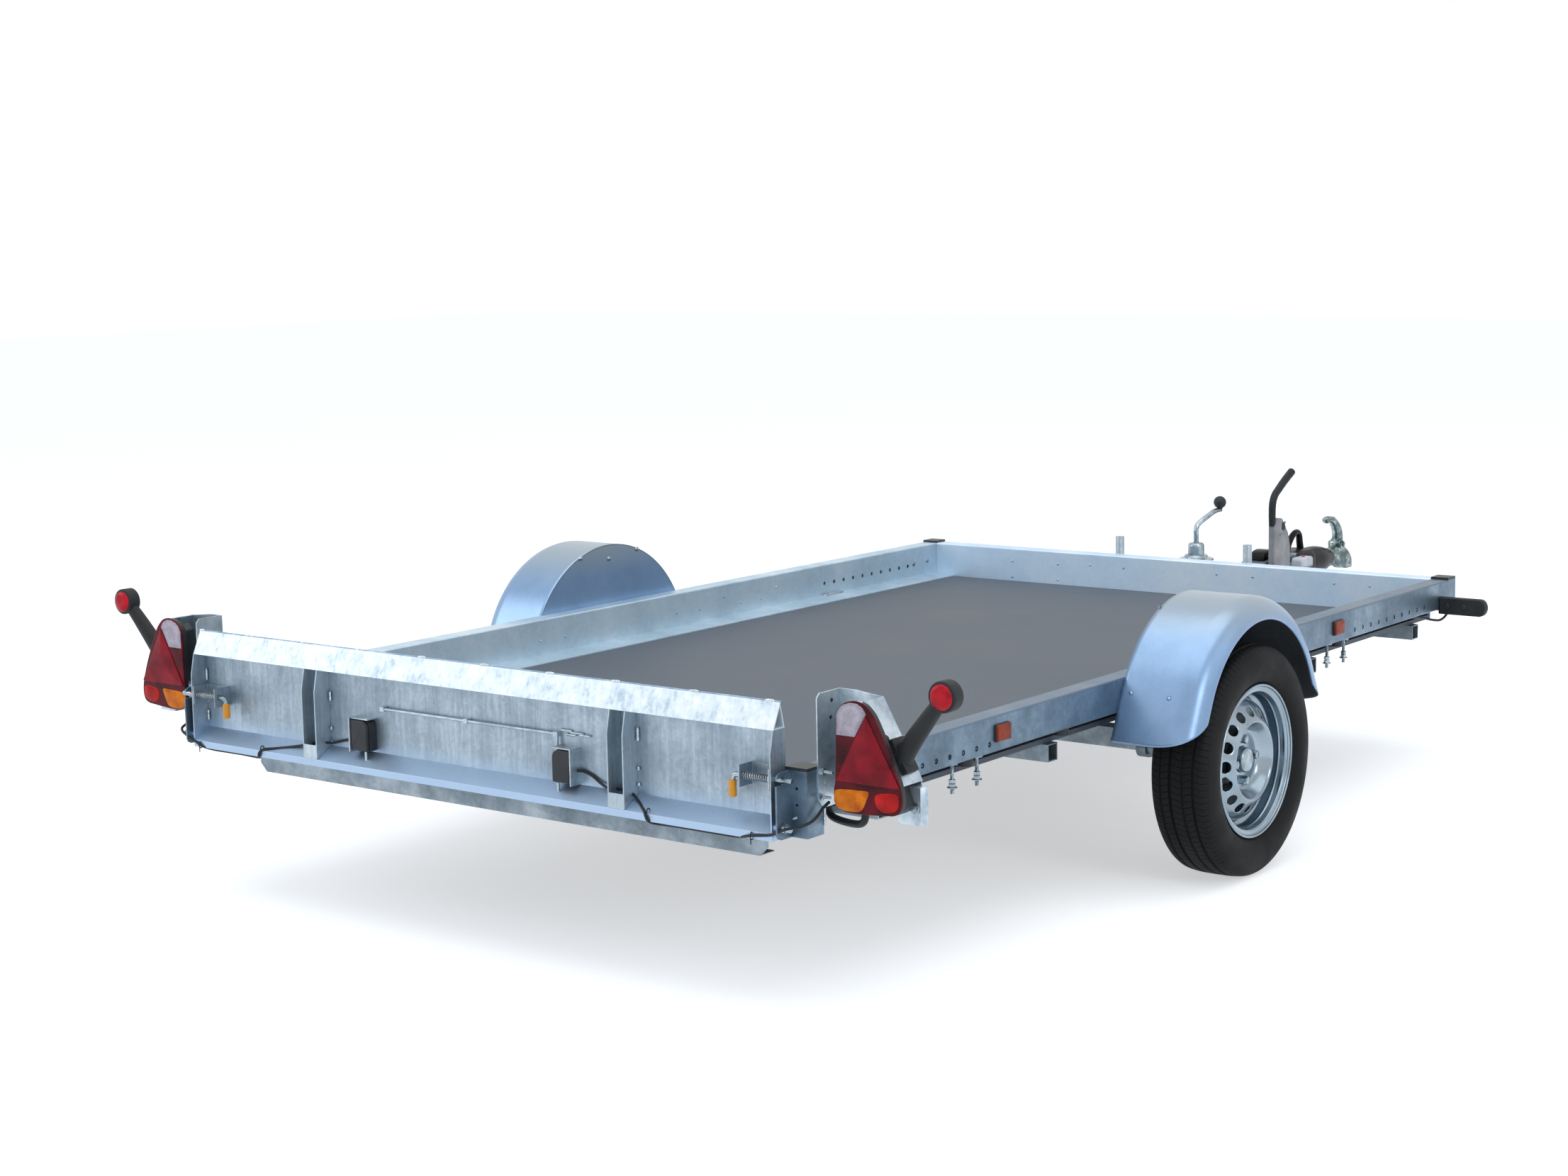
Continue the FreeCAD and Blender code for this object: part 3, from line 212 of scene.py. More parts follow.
def tyreRubber():
    # vulcanised tread rubber: near black, dry and matt, a little paler where it is scuffed
    material, tree, shader, place = startMaterial("vulcanisedTyreRubber", {
        "IOR": 1.45, "Specular IOR Level": 0.22})
    scuff = noise(tree, place, 70, 6.0, 0.65)
    colour = ramp(tree, scuff, (0.3, "#0C0D0F"), (0.72, "#17191B"))
    finish(tree, shader, colour, noise(tree, place, 1.6, 3.0), 0.35, 0.2, scuff, (0.55, 0.78))
    return material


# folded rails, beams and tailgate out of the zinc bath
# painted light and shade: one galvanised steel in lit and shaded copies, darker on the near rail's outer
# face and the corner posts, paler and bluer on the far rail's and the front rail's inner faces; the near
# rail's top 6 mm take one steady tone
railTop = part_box("side_rail_right")[1][2]
zincRailPaintedShade = galvanised("galvanisedNearRailPaintedShade", "#506372", "#6B7F90", "#8CA0B0", crystal=9, cloud=160,
                      top=(railTop - 0.006, railTop - 0.001, "#64778A"))
zincFarRailPaintedLight = galvanised("galvanisedFarRailPaintedLight", "#A6BCCB", "#BDD2E0", "#D6E6F0", crystal=9, cloud=160,
                         metallic=0.62)
zincFrontPaintedLight = galvanised("galvanisedFrontRailPaintedLight", "#BFD8EE", "#D2E6F8", "#E6F3FE", crystal=9, cloud=200,
                       metallic=0.5)
# painted light and shade: the gate sheet is a darker copy of the zinc and its ribs a paler one; below 0.44
# m the sheet turns paler and bluer
zincGate = galvanised("galvanisedGateSheet", "#7A8894", "#98A7B3", "#BDCAD5", crystal=8, cloud=110, run=9,
                      rough=(0.36, 0.52), top=(0.44, 0.372, "#A8BFD8"))
zincRib = galvanised("galvanisedRib", "#93A1AB", "#AEBCC6", "#CBD6DE", crystal=8, cloud=90, run=9,
                     rough=(0.36, 0.52))
# painted light: the top tube is a much paler copy of the zinc, for the sky on its slanted face
zincBandPaintedLight = galvanised("galvanisedTopTubePaintedLight", "#86A2BA", "#D2E0EA", "#F6FAFC", crystal=8, cloud=60, run=10,
                      rough=(0.4, 0.55), metallic=0.5, lift=0.47)
# painted reflection of the sky: the fender's zinc is tinted blue, and from 0.56 m to 0.66 m up it turns to
# a paler grey on the level top
zincFenderPaintedSky = galvanised("galvanisedPressedFenderPaintedSky", "#7591B3", "#84A2C5", "#94B2D4", rough=(0.27, 0.33),
                        crystal=4, cloud=300, relief=0.03, speckle=0.05, metallic=0.62,
                        top=(0.56, 0.66, "#9DACB8"))
fenderInside = galvanised("shadedFenderInside", "#23282D", "#2E343A", "#3D454C", rough=(0.6, 0.7),
                          cloud=160, metallic=0.3)
zincBeam = galvanised("galvanisedBeam", "#6A7780", "#86939C", "#A9B4BC", crystal=9, cloud=90)
zincHousing = galvanised("housingZincAndBlackCover", "#6A7780", "#86939C", "#A9B4BC", crystal=9, cloud=90,
                         top=(at(0, 3868, 0)[1], at(0, 3872, 0)[1], "#07080A"), along="Y")
zincCarrier = galvanised("galvanisedLampCarrier", "#8E9DA9", "#B9C8D3", "#E6EFF5", rough=(0.25, 0.42),
                         crystal=10, cloud=60, metallic=0.7)
zincPipe = galvanised("galvanisedPipe", "#8A98A2", "#A9B6BF", "#C9D3DA", crystal=5, cloud=60)
# bright zinc plating on turned and pressed fittings, and on the rough casting of the coupling
castZinc = galvanised("zincedCasting", "#3E4A4C", "#6F7E80", "#C3D0CF", rough=(0.16, 0.3), crystal=4,
                      cloud=26, metallic=0.95, relief=0.6, speckle=0.08)
platedSteel = galvanised("brightZincPlating", "#6F7C84", "#93A0A8", "#BAC6CD", rough=(0.18, 0.28),
                         crystal=3, cloud=30, metallic=0.95, relief=0.05, speckle=0.05)
# painted shade: a darker copy of the zinc for the ridge lip in the top tube's shade; the rivet heads take
# it too
zincInPaintedShade = galvanised("galvanisedShadedLip", "#7088A0", "#8FA9C2", "#B7CEE2", crystal=6, cloud=60)
springSteel = galvanised("springWire", "#6E7478", "#979DA1", "#C3C8CA", rough=(0.22, 0.34), crystal=2,
                         cloud=20, metallic=0.9, relief=0.05)
weldZinc = galvanised("zincedWeld", "#A9B7C1", "#C9D4DC", "#E6EEF3", rough=(0.25, 0.4), crystal=2, cloud=12,
                      metallic=0.7, speckle=0.05)
castIron = galvanised("castDrumPaint", "#3A4044", "#4F565B", "#6C7479", rough=(0.5, 0.65), crystal=2,
                      cloud=30, metallic=0.3)
wheelSilver = galvanised("silverWheelLacquer", "#7E8D98", "#8F9EA9", "#A3B1BC", rough=(0.17, 0.22),
                         crystal=1.2, cloud=180, metallic=0.92, relief=0.02, speckle=0.04)
leverPaint = galvanised("leverPaint", "#6F7074", "#85868A", "#9C9DA0", rough=(0.4, 0.52), crystal=2,
                        cloud=60, metallic=0.25, relief=0.1)
floorFilm = filmPlywood()
tyreBlack = tyreRubber()
blackRubber = moulded("mouldedRubber", "#17191B", "#2B2E31", rough=0.58)
blackPlastic = moulded("mouldedPolypropylene", "#202326", "#33373B", rough=0.42)
palePlastic = moulded("palePolyamide", "#A9B2BC", "#D5DCE2", rough=0.42)
orangeVinyl = moulded("orangeVinylGrip", "#D88A12", "#F2A92C", rough=0.35, coat=0.3)
redVinyl = moulded("redButton", "#A8242B", "#CF4048", rough=0.35, coat=0.3)
bootRubber = moulded("glossyBellowsRubber", "#060708", "#0D0F11", rough=0.34, relief=0.04, sheen=0.13)
blackCable = moulded("cablePvc", "#15171A", "#26292D", rough=0.45)
lensRed = lensPlastic("redAcrylicLens", "#34060F", "#6E0D1C", pitch=7, spread=0.2)
lensDeep = lensPlastic("redReflexAcrylic", "#6E0A1A", "#9C1428", pitch=3.5, spread=0.2)
lensSignal = lensPlastic("brightRedAcrylic", "#8E0A12", "#E0221F", pitch=4.5)
lensAmber = lensPlastic("amberAcrylic", "#A83A04", "#FF9414", pitch=4.5)
lensClear = lensPlastic("clearAcrylic", "#8A8090", "#DAD2DC", pitch=3.6, spread=0.72)
lensMarker = lensPlastic("markerRedAcrylic", "#7A0914", "#D01E2E", pitch=4, spread=0.2)
reflexAmber = lensPlastic("amberReflexAcrylic", "#6A2210", "#A8401C", pitch=3.5)
print("materials made")


# Surfaces

def unit(rows):
    # each row scaled to length one
    return rows / np.maximum(np.linalg.norm(rows, axis=-1, keepdims=True), 1e-9)


def unitRing(sides, start=0.0):
    # points of a unit circle: cosine and sine of evenly spaced angles
    angle = start + 2 * math.pi * np.arange(sides) / sides
    return np.stack([np.cos(angle), np.sin(angle)], -1)


def axesOf(direction):
    # two directions square to the given one, and that one itself, all of unit length
    w = unit(np.array(direction, float))
    u = unit(np.cross([0, 0, 1] if abs(w[2]) < 0.9 else [1, 0, 0], w))
    return u, np.cross(w, u), w


def turned(centre, direction, profile, sides=40, start=0.0, flats=None):
    # a turned form: at distance a along the axis the ring has radius r, for each (a, r) in mm;
    # with flats it is cut from a hexagon bar, so that the radius is at most half the flats' width
    # over the cosine of the angle to the nearest flat
    along, radius = (np.array(profile, float) * mm).T[..., None]
    u, v, w = axesOf(direction)
    ring = unitRing(sides, start)
    size = np.maximum(radius, 0.02 * mm)
    if flats:
        toFlat = (np.arange(sides) * 2 * math.pi / sides + math.pi / 6) % (math.pi / 3) - math.pi / 6
        size = np.minimum(radius, flats * mm / 2 / np.cos(toFlat))
    return centre + along[..., None] * w + size[..., None] * (ring[:, :1] * u + ring[:, 1:] * v)


def smooth(points, steps=8, closed=False):
    # Catmull-Rom curve: each span is a cubic through its ends, with slopes from its neighbours
    p = np.array(points, float)
    if closed:
        before, start, end, after = np.roll(p, 1, 0), p, np.roll(p, -1, 0), np.roll(p, -2, 0)
    else:
        padded = np.vstack([2 * p[0] - p[1], p, 2 * p[-1] - p[-2]])
        before, start, end, after = padded[:-3], padded[1:-2], padded[2:-1], padded[3:]
    t = (np.arange(steps) / steps)[None, :, None]
    b, s, e, a = (q[:, None, :] for q in (before, start, end, after))
    curve = 0.5 * (2 * s + (e - b) * t + (2 * b - 5 * s + 4 * e - a) * t ** 2
                   + (3 * s - b - 3 * e + a) * t ** 3)
    curve = curve.reshape(-1, p.shape[1])
    return curve if closed else np.vstack([curve, p[-1]])


def swept(path, radius, side, sides=14, squash=1.0):
    # a tube: a circle of the given radius carried along the path, square to it, its first
    # axis being the side direction with the part along the path taken out
    path, side = np.array(path, float), np.array(side, float)
    tangent = unit(np.gradient(path, axis=0))
    across = unit(side - (tangent @ side)[:, None] * tangent)
    upward = np.cross(tangent, across)
    cosine, sine = unitRing(sides).T[..., None]
    sizes = (np.broadcast_to(np.array(v, float), (len(path),)) for v in (radius, squash))
    size, flat = (v[:, None, None] for v in sizes)
    return path[:, None] + size * mm * (cosine * across[:, None] + flat * sine * upward[:, None])


def bead(points, radius, side, lumps):
    # a weld run between two points: a tube whose radius swells with every laid drop,
    # r * (1 + 0.2 sin + 0.1 sin), and closes at both ends as the root of 1 - (2t - 1) to the eighth
    first, last = line(points)
    t = np.linspace(0, 1, 17)
    wave = 1 + 0.2 * np.sin(2 * math.pi * lumps * t) + 0.1 * np.sin(2 * math.pi * 2.7 * lumps * t + 1.3)
    close = np.sqrt(np.clip(1 - (2 * t - 1) ** 8, 0.01, 1))
    return swept(np.linspace(first, last, 17), radius * wave * close, side, 10, squash=0.7)


def rounded(points, radius, steps=6):
    # an outline with its corners rounded: at each corner an arc of the given radius that
    # touches both sides, its centre on the line that halves the angle
    p = np.array(points, float)
    r = np.broadcast_to(np.array(radius, float), (len(p),))[:, None]
    back, ahead = unit(np.roll(p, 1, 0) - p), unit(np.roll(p, -1, 0) - p)
    half = np.arccos(np.clip((back * ahead).sum(1), -1, 1))[:, None] / 2
    centre = p + unit(back + ahead) * r / np.sin(half)
    first = p + back * r / np.tan(half) - centre
    last = p + ahead * r / np.tan(half) - centre
    t = np.linspace(0, 1, steps)[None, :, None]
    arc = unit(first[:, None] * (1 - t) + last[:, None] * t) * r[:, None]
    return (centre[:, None] + arc).reshape(-1, 2)


def insetLoop(loop, distance):
    # a closed outline moved inward by a distance along the mean normal of its two sides
    edge = np.roll(loop, -1, 0) - loop
    normal = unit(np.stack([-edge[:, 1], edge[:, 0]], -1))
    x, y = loop.T
    turn = np.sign((x * np.roll(y, -1) - y * np.roll(x, -1)).sum())
    return loop + unit(normal + np.roll(normal, 1, 0)) * distance * turn


def slab(loop, low, high, edge, place, steps=4, crown=0.0):
    # a plate with rounded rims: the outline is stacked from one face to the other, drawn in by
    # edge * (1 - cos a) while it rises by edge * sin a, with one ring more on each flat face;
    # place turns (u, v, height) to the frame;
    # a crown lifts rings that shrink to the middle by crown * (1 - share squared)
    a = np.linspace(0, math.pi / 2, steps)
    inner = [edge + 0.25]
    draw = np.concatenate([inner, edge * (1 - np.sin(a)), edge * (1 - np.cos(a)), inner])
    rise = np.concatenate([[low], low + edge * (1 - np.cos(a)), high - edge * (1 - np.sin(a)), [high]])
    rings = [np.column_stack([insetLoop(loop, d), np.full(len(loop), h)]) for d, h in zip(draw, rise)]
    top = rings[-1][:, :2]
    heart = top.mean(0)
    for share in np.linspace(0.9, 0.04, 8) if crown else ():
        height = np.full(len(loop), high + crown * (1 - share ** 2))
        rings.append(np.column_stack([heart + (top - heart) * share, height]))
    return place(np.array(rings))


def facing(axis, origin=(0, 0, 0), side=1):
    # turns (u, v, height) in mm to the frame for a plate that faces along one axis from origin;
    # on the left side u runs the other way
    turns = {"-y": ((1, 0, 0), (0, 0, 1), (0, -1, 0)), "+y": ((1, 0, 0), (0, 0, 1), (0, 1, 0)),
             "+x": ((0, 1, 0), (0, 0, 1), (1, 0, 0)), "-x": ((0, 1, 0), (0, 0, 1), (-1, 0, 0)),
             "+z": ((1, 0, 0), (0, 1, 0), (0, 0, 1))}
    basis = np.array(turns[axis], float) * mm
    return lambda points: origin + (points * [side, 1, 1]) @ basis


def startPiece(name, materials, points, faces):
    # a smooth mesh in the scene with its finishes
    mesh = bpy.data.meshes.new(name)
    mesh.from_pydata(np.vstack(points).tolist(), [], faces)
    for material in materials:
        mesh.materials.append(material)
    mesh.shade_smooth()
    piece = bpy.data.objects.new(name, mesh)
    bpy.context.scene.collection.objects.link(piece)
    return piece


def endPiece(piece, body, replaces):
    # what the frame is told of a piece
    if body:
        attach(piece, body)
    if replaces:
        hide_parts(*replaces)
    return piece


def quadsOf(low, high):
    # quads between two neighbouring rows of points, each a start, its next and the two above
    return np.stack([low[0], low[1], high[1], high[0]], -1).reshape(-1, 4)


def makePiece(name, body, material, shells, replaces=(), soft=38):
    # one mesh from stacks of rings: quads between neighbouring rings, a face on each end ring
    # unless the stack closes on itself; a stack whose enclosed volume is negative is turned over
    points, faces, count = [], [], 0
    for shell in shells:
        rings, looped = shell if isinstance(shell, tuple) else (shell, False)
        index = np.arange(rings.shape[0] * rings.shape[1]).reshape(rings.shape[:2])
        low = index if looped else index[:-1]
        high = np.roll(index, -1, 0) if looped else index[1:]
        quads = quadsOf((low, np.roll(low, -1, 1)), (high, np.roll(high, -1, 1)))
        flat = rings.reshape(-1, 3)
        middle = flat.mean(0)
        q = flat[quads] - middle
        volume = (np.cross(q[:, 0], q[:, 1]) * q[:, 2]).sum() + (np.cross(q[:, 0], q[:, 2]) * q[:, 3]).sum()
        ends = [] if looped else [index[0][::-1], index[-1]]
        for end in ends:
            e = flat[end] - middle
            volume += (np.cross(e[1:-1], e[2:]) * e[0]).sum()
        step = -1 if volume < 0 else 1
        faces += (quads[:, ::step] + count).tolist()
        faces += [(end[::step] + count).tolist() for end in ends]
        points.append(flat)
        count += len(flat)
    piece = startPiece(name, [material], points, faces)
    piece.data.set_sharp_from_angle(angle=math.radians(soft))
    return endPiece(piece, body, replaces)


def closeSeams(piece, gap):
    # points closer than the gap in millimetres become one
    piece.modifiers.new("closeSeams", "WELD").merge_threshold = gap * mm


def makeSheet(name, body, materials, grids, heart, thickness, replaces=()):
    # one sheet from open grids of points: quads between neighbours that face away from the heart,
    # seams merged, then thickened towards it; a second finish goes to the side that faces it
    points, faces, count = [], [], 0
    for grid in grids:
        index = np.arange(grid.shape[0] * grid.shape[1]).reshape(grid.shape[:2])
        quads = quadsOf((index[:-1, :-1], index[:-1, 1:]), (index[1:, :-1], index[1:, 1:]))
        flat = grid.reshape(-1, 3)
        corner = flat[quads]
        normal = np.cross(corner[:, 2] - corner[:, 0], corner[:, 3] - corner[:, 1])
        step = -1 if (normal * (corner.mean(1) - heart)).sum() < 0 else 1
        faces += (quads[:, ::step] + count).tolist()
        points.append(flat)
        count += len(flat)
    piece = startPiece(name, materials, points, faces)
    closeSeams(piece, 0.03)
    solid = piece.modifiers.new("sheetThickness", "SOLIDIFY")
    solid.thickness = thickness * mm
    solid.offset = -1
    solid.use_quality_normals = True
    solid.material_offset = len(materials) - 1
    return endPiece(piece, body, replaces)


# the nodes that keep their own form: a finish, and a small radius on each edge

nodeFinish = {
    "floor_panel": floorFilm, "side_rail_right": zincRailPaintedShade, "side_rail_left": zincFarRailPaintedLight,
    "front_rail": zincFrontPaintedLight, "corner_posts": zincRailPaintedShade, "post_caps": blackPlastic, "spine_beams": zincBeam,
    "outriggers": zincBeam, "rear_beam": zincBeam, "tilt_pin": platedSteel, "axle_beam": zincBeam,
    "axle_arms": zincBeam, "hub_right": castIron, "hub_left": castIron,
    "lamp_carriers": zincCarrier, "rail_plugs": blackPlastic, "gate_panel": zincGate,
    "gate_top_tube": zincBandPaintedLight, "gate_ends": zincGate, "gate_ribs": zincRib, "latch_brackets": zincGate,
    "latch_pin_right": platedSteel, "latch_pin_left": platedSteel, "plate_rod": zincPipe,
    "drawbar_tube": zincBeam, "cradle_hoop": zincPipe, "jockey_clamp": zincPipe,
    "overrun_housing": zincHousing}
plainEdges = {"side_rail_right", "side_rail_left", "front_rail", "corner_posts"}
edgeRadius = {"plain": 0.7, "overrun_housing": 3.0, "segments": 3}


def dressNodes():
    # a finish on every node, and where its edges show, a bevel on the welded triangles
    for name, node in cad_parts.items():
        if name not in nodeFinish:
            continue
        node.data.materials.clear()
        node.data.materials.append(nodeFinish[name])
        if name in plainEdges:
            continue
        closeSeams(node, 0.02)
        bevel = node.modifiers.new("edgeRadius", "BEVEL")
        bevel.width = edgeRadius.get(name, edgeRadius["plain"]) * mm
        bevel.segments = edgeRadius["segments"]
        bevel.limit_method = "ANGLE"
        bevel.angle_limit = math.radians(40)
        bevel.harden_normals = True
        bevel.use_clamp_overlap = True


dressNodes()
print("nodes dressed")

# the wheels

tyreSize = {"groove": 4.5, "grooveDepth": 4.5, "grooves": (-41, -16, 16, 41), "pitches": 108, "sipe": 2.0,
            "rows": (0, 0.045, 0.28, 0.52, 0.76, 0.955),
            "slant": ((-60, 0), (-41, 6), (-16, -2), (16, 6), (41, -2), (60, 6)), "halfTread": 60.5,
            "crown": (4.4, 0.4), "wallLines": (24, 33, 80), "lineWidth": 1.4, "lineHeight": 0.4}


def makeTyre(side):
    # the section is a smooth closed curve of (across, radius); the crown falls by a share to the
    # fourth and a share squared, and fine lines run round the wall; the tread's radius loses a
    # groove's depth near each groove line and a sipe's depth on the first row of every pitch; the
    # rows lean by slant(across) / radius, so that the sipes cross each rib at a slope of its own
    size = tyreSize
    low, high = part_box("tyre_" + side.lower())
    centre = (np.array(low) + high) / 2
    outer = (high[2] - low[2]) / 2 / mm
    half = [(57, -107), (57, -98), (60, -91), (67, -85), (73.5, -75), (77.2, -61), (77.8, -48), (75.8, -34),
            (71.6, -20), (66.5, -11), (60.5, -4.8)]
    steep, mild = size["crown"]
    part = np.linspace(57.5, -57.5, 59) / size["halfTread"]
    tread = np.column_stack([part * size["halfTread"], -steep * part ** 4 - mild * part ** 2])
    wall = smooth(np.array(half), 3)[:-1]
    section = np.vstack([wall, tread, wall[::-1] * [-1, 1]])
    across, depth = section.T
    radius = outer + depth
    ring = sum(np.exp(-((depth + d) / size["lineWidth"]) ** 2) for d in size["wallLines"])
    across = across + np.sign(across) * size["lineHeight"] * ring * (depth < -12)
    onTread = depth > -6.5
    groove = sum(np.clip((size["groove"] / 2 + 1 - abs(across - g)) / 1.4, 0, 1) for g in size["grooves"])
    rows = size["rows"]
    share = np.add.outer(np.arange(size["pitches"]), rows).reshape(-1, 1) / size["pitches"]
    onSipe = (np.arange(len(share)) % len(rows) == 0)[:, None]
    lean = np.interp(across, *np.transpose(size["slant"])) / outer
    sipe = onSipe & (depth > -17) & (depth < 1)
    cut = np.maximum(groove * size["grooveDepth"] * onTread, sipe * size["sipe"])
    r = radius - cut
    angle = 2 * math.pi * share + lean
    rings = centre + np.stack([across + 0 * angle, r * np.cos(angle), r * np.sin(angle)], -1) * mm
    makePiece("tyre" + side, "wheel_" + side.lower(), tyreBlack, [(rings, True)],
              replaces=("tyre_" + side.lower(),), soft=30)


rimSize = {"centre": 1034, "height": 273.5, "vents": 16, "firstVent": -1.3, "ventCircle": 115,
           "ventAcross": 13.5, "ventDeep": 11, "band": 18, "steps": 12, "sheet": 3.2}
discLine = [(29, 26), (60, 26), (67, 26.3), (72, 29), (78, 37), (84, 48), (88.5, 56), (92.5, 59),
            (97, 57.6), (104, 53), (115, 45), (126, 37.5), (133, 32), (139, 27), (142.6, 20), (144.2, 11),
            (144.6, 4)]
barrelLine = [(-65, 181), (-58, 180), (-56, 166), (-32, 163), (-25, 148.5), (6, 148.5), (14, 163),
              (40, 164), (56, 166), (58, 179), (61, 181.6), (64.5, 181), (66.4, 178), (65.4, 174.8),
              (61.5, 174), (59.5, 171), (58.6, 165), (56.5, 161.8), (52, 160.8), (44, 160.2), (40, 158.2),
              (36, 160), (22, 159), (16, 156), (10, 147.5), (5, 145), (-26, 145), (-34, 160), (-52, 162),
              (-58, 172), (-62, 177)]


def makeRim(side):
    # the barrel is a turned closed line; the disc's distance along the axle is a smooth curve over
    # its radius, on plain rings inside and outside the vents; each vent's share is a grid from the
    # oval hole's edge to its own piece of the ring: edge * (1 - w) + border * w, angle = across / circle
    size, out = rimSize, outward[side]
    body = "wheel_" + side.lower()
    centre = at(out * size["centre"], axleStation, size["height"])
    axis = (out, 0, 0)
    barrel = turned(centre, axis, smooth(barrelLine, 4, closed=True), 144)
    makePiece("rimBarrel" + side, body, wheelSilver, [(barrel, True)])
    curve = smooth(discLine, 10)

    def onDisc(angle, radius, sink=0.0):
        # the disc's point at an angle and a radius, let in by the sink
        lift = (np.interp(radius, curve[:, 0], curve[:, 1]) - sink) * mm * out
        return centre + np.stack([lift, radius * mm * np.cos(angle), radius * mm * np.sin(angle)], -1)

    first = math.radians(size["firstVent"])
    share = 2 * math.pi / size["vents"]
    around = first - share / 2 + np.linspace(0, 2 * math.pi, size["vents"] * size["steps"] + 1)[None, :]
    circle, band = size["ventCircle"], size["band"]
    inside = [*np.linspace(discLine[0][0], 66, 8), *np.linspace(67.5, circle - band, 26)]
    outside = np.linspace(circle + band, discLine[-1][0], 14)
    plain = (np.array(radii)[:, None] for radii in (inside, outside))
    grids = [onDisc(around + 0 * radius, radius + 0 * around) for radius in plain]
    t = np.linspace(-1, 1, size["steps"] + 1)
    wide = share / 2 * circle
    sides = [(t * wide, 0 * t - band), (0 * t + wide, t * band), (-t * wide, 0 * t + band),
             (0 * t - wide, -t * band)]
    border = np.vstack([np.transpose(run)[:-1] for run in sides] + [[-wide, -band]])
    turn = np.arctan2(border[:, 1], border[:, 0])
    edge = np.column_stack([size["ventAcross"] * np.cos(turn), size["ventDeep"] * np.sin(turn)])
    w = np.array([0, 0.06, 0.14, 0.28, 0.46, 0.7, 1.0])[:, None, None]
    spread = edge * (1 - w) + border * w
    sink = 1.4 * np.exp(-(w[:, :, 0] / 0.08) ** 2) * (w[:, :, 0] < 1)
    for k in range(size["vents"]):
        grids.append(onDisc(first + k * share + spread[..., 0] / circle, circle + spread[..., 1], sink))
    heart = centre - [out, 0, 0]
    makeSheet("rimDisc" + side, body, [wheelSilver], grids, heart, size["sheet"],
              replaces=("rim_" + side.lower(),))


wheelSize = {"boltCircle": 50, "bolts": 4, "firstBolt": 4, "nutFlats": 19, "discFace": 26,
             "valveCircle": 138, "valveAngle": 193}


def wheelFittings(side):
    # wheel bolts on their circle, the hub's dust cap, and the rubber valve
    out, body = outward[side], "wheel_" + side.lower()
    centre = at(out * rimSize["centre"], axleStation, rimSize["height"])
    axis = (out, 0, 0)
    face = centre + np.array([out * wheelSize["discFace"] * mm, 0, 0])
    nut = [(0, 12.5), (2, 12.5), (4, 11), (5, 10.9), (12, 10.9), (14.5, 9.2), (15.3, 6.5), (15.5, 0)]
    metal = []
    for k in range(wheelSize["bolts"]):
        a = math.radians(wheelSize["firstBolt"] + 360 / wheelSize["bolts"] * k)
        spot = face + wheelSize["boltCircle"] * mm * np.array([0, math.cos(a), math.sin(a)])
        metal.append(turned(spot, axis, nut, 36, flats=wheelSize["nutFlats"]))
    cap = [(-2, 29), (10, 29.6), (13, 29), (15.2, 27.2), (16.2, 24.5), (16.4, 22), (15.8, 19), (15.7, 0)]
    metal.append(turned(face, axis, cap, 56))
    makePiece("wheelBolts" + side, body, platedSteel, metal)
    a = math.radians(wheelSize["valveAngle"])
    radial = np.array([0, math.cos(a), math.sin(a)])
    foot = centre + radial * wheelSize["valveCircle"] * mm + np.array([out * 24 * mm, 0, 0])
    stem = [(0, 7.5), (4, 7.5), (6, 5.6), (22, 4.6), (24, 4.2), (24.2, 4.9), (33, 4.9), (34.5, 4.2),
            (34.8, 0)]
    lean = np.array([out, 0, 0]) * 0.8 - radial * 0.6
    makePiece("valve" + side, body, blackRubber, [turned(foot, lean, stem, 24)])


for makeOne in (makeTyre, makeRim, wheelFittings):
    makeOne("Right")
    makeOne("Left")
print("wheels made")

fenderSize = {"width": 206, "top": 657, "bottom": 355, "rear": 336, "front": 361, "lean": 25, "round": 325,
              "shoulder": 56, "curl": 3.2, "cornerStart": 94, "cornerRise": 76, "sheet": 1.8,
              "arcSteps": 60, "walkSteps": 600, "rows": 150, "roundTo": 84}


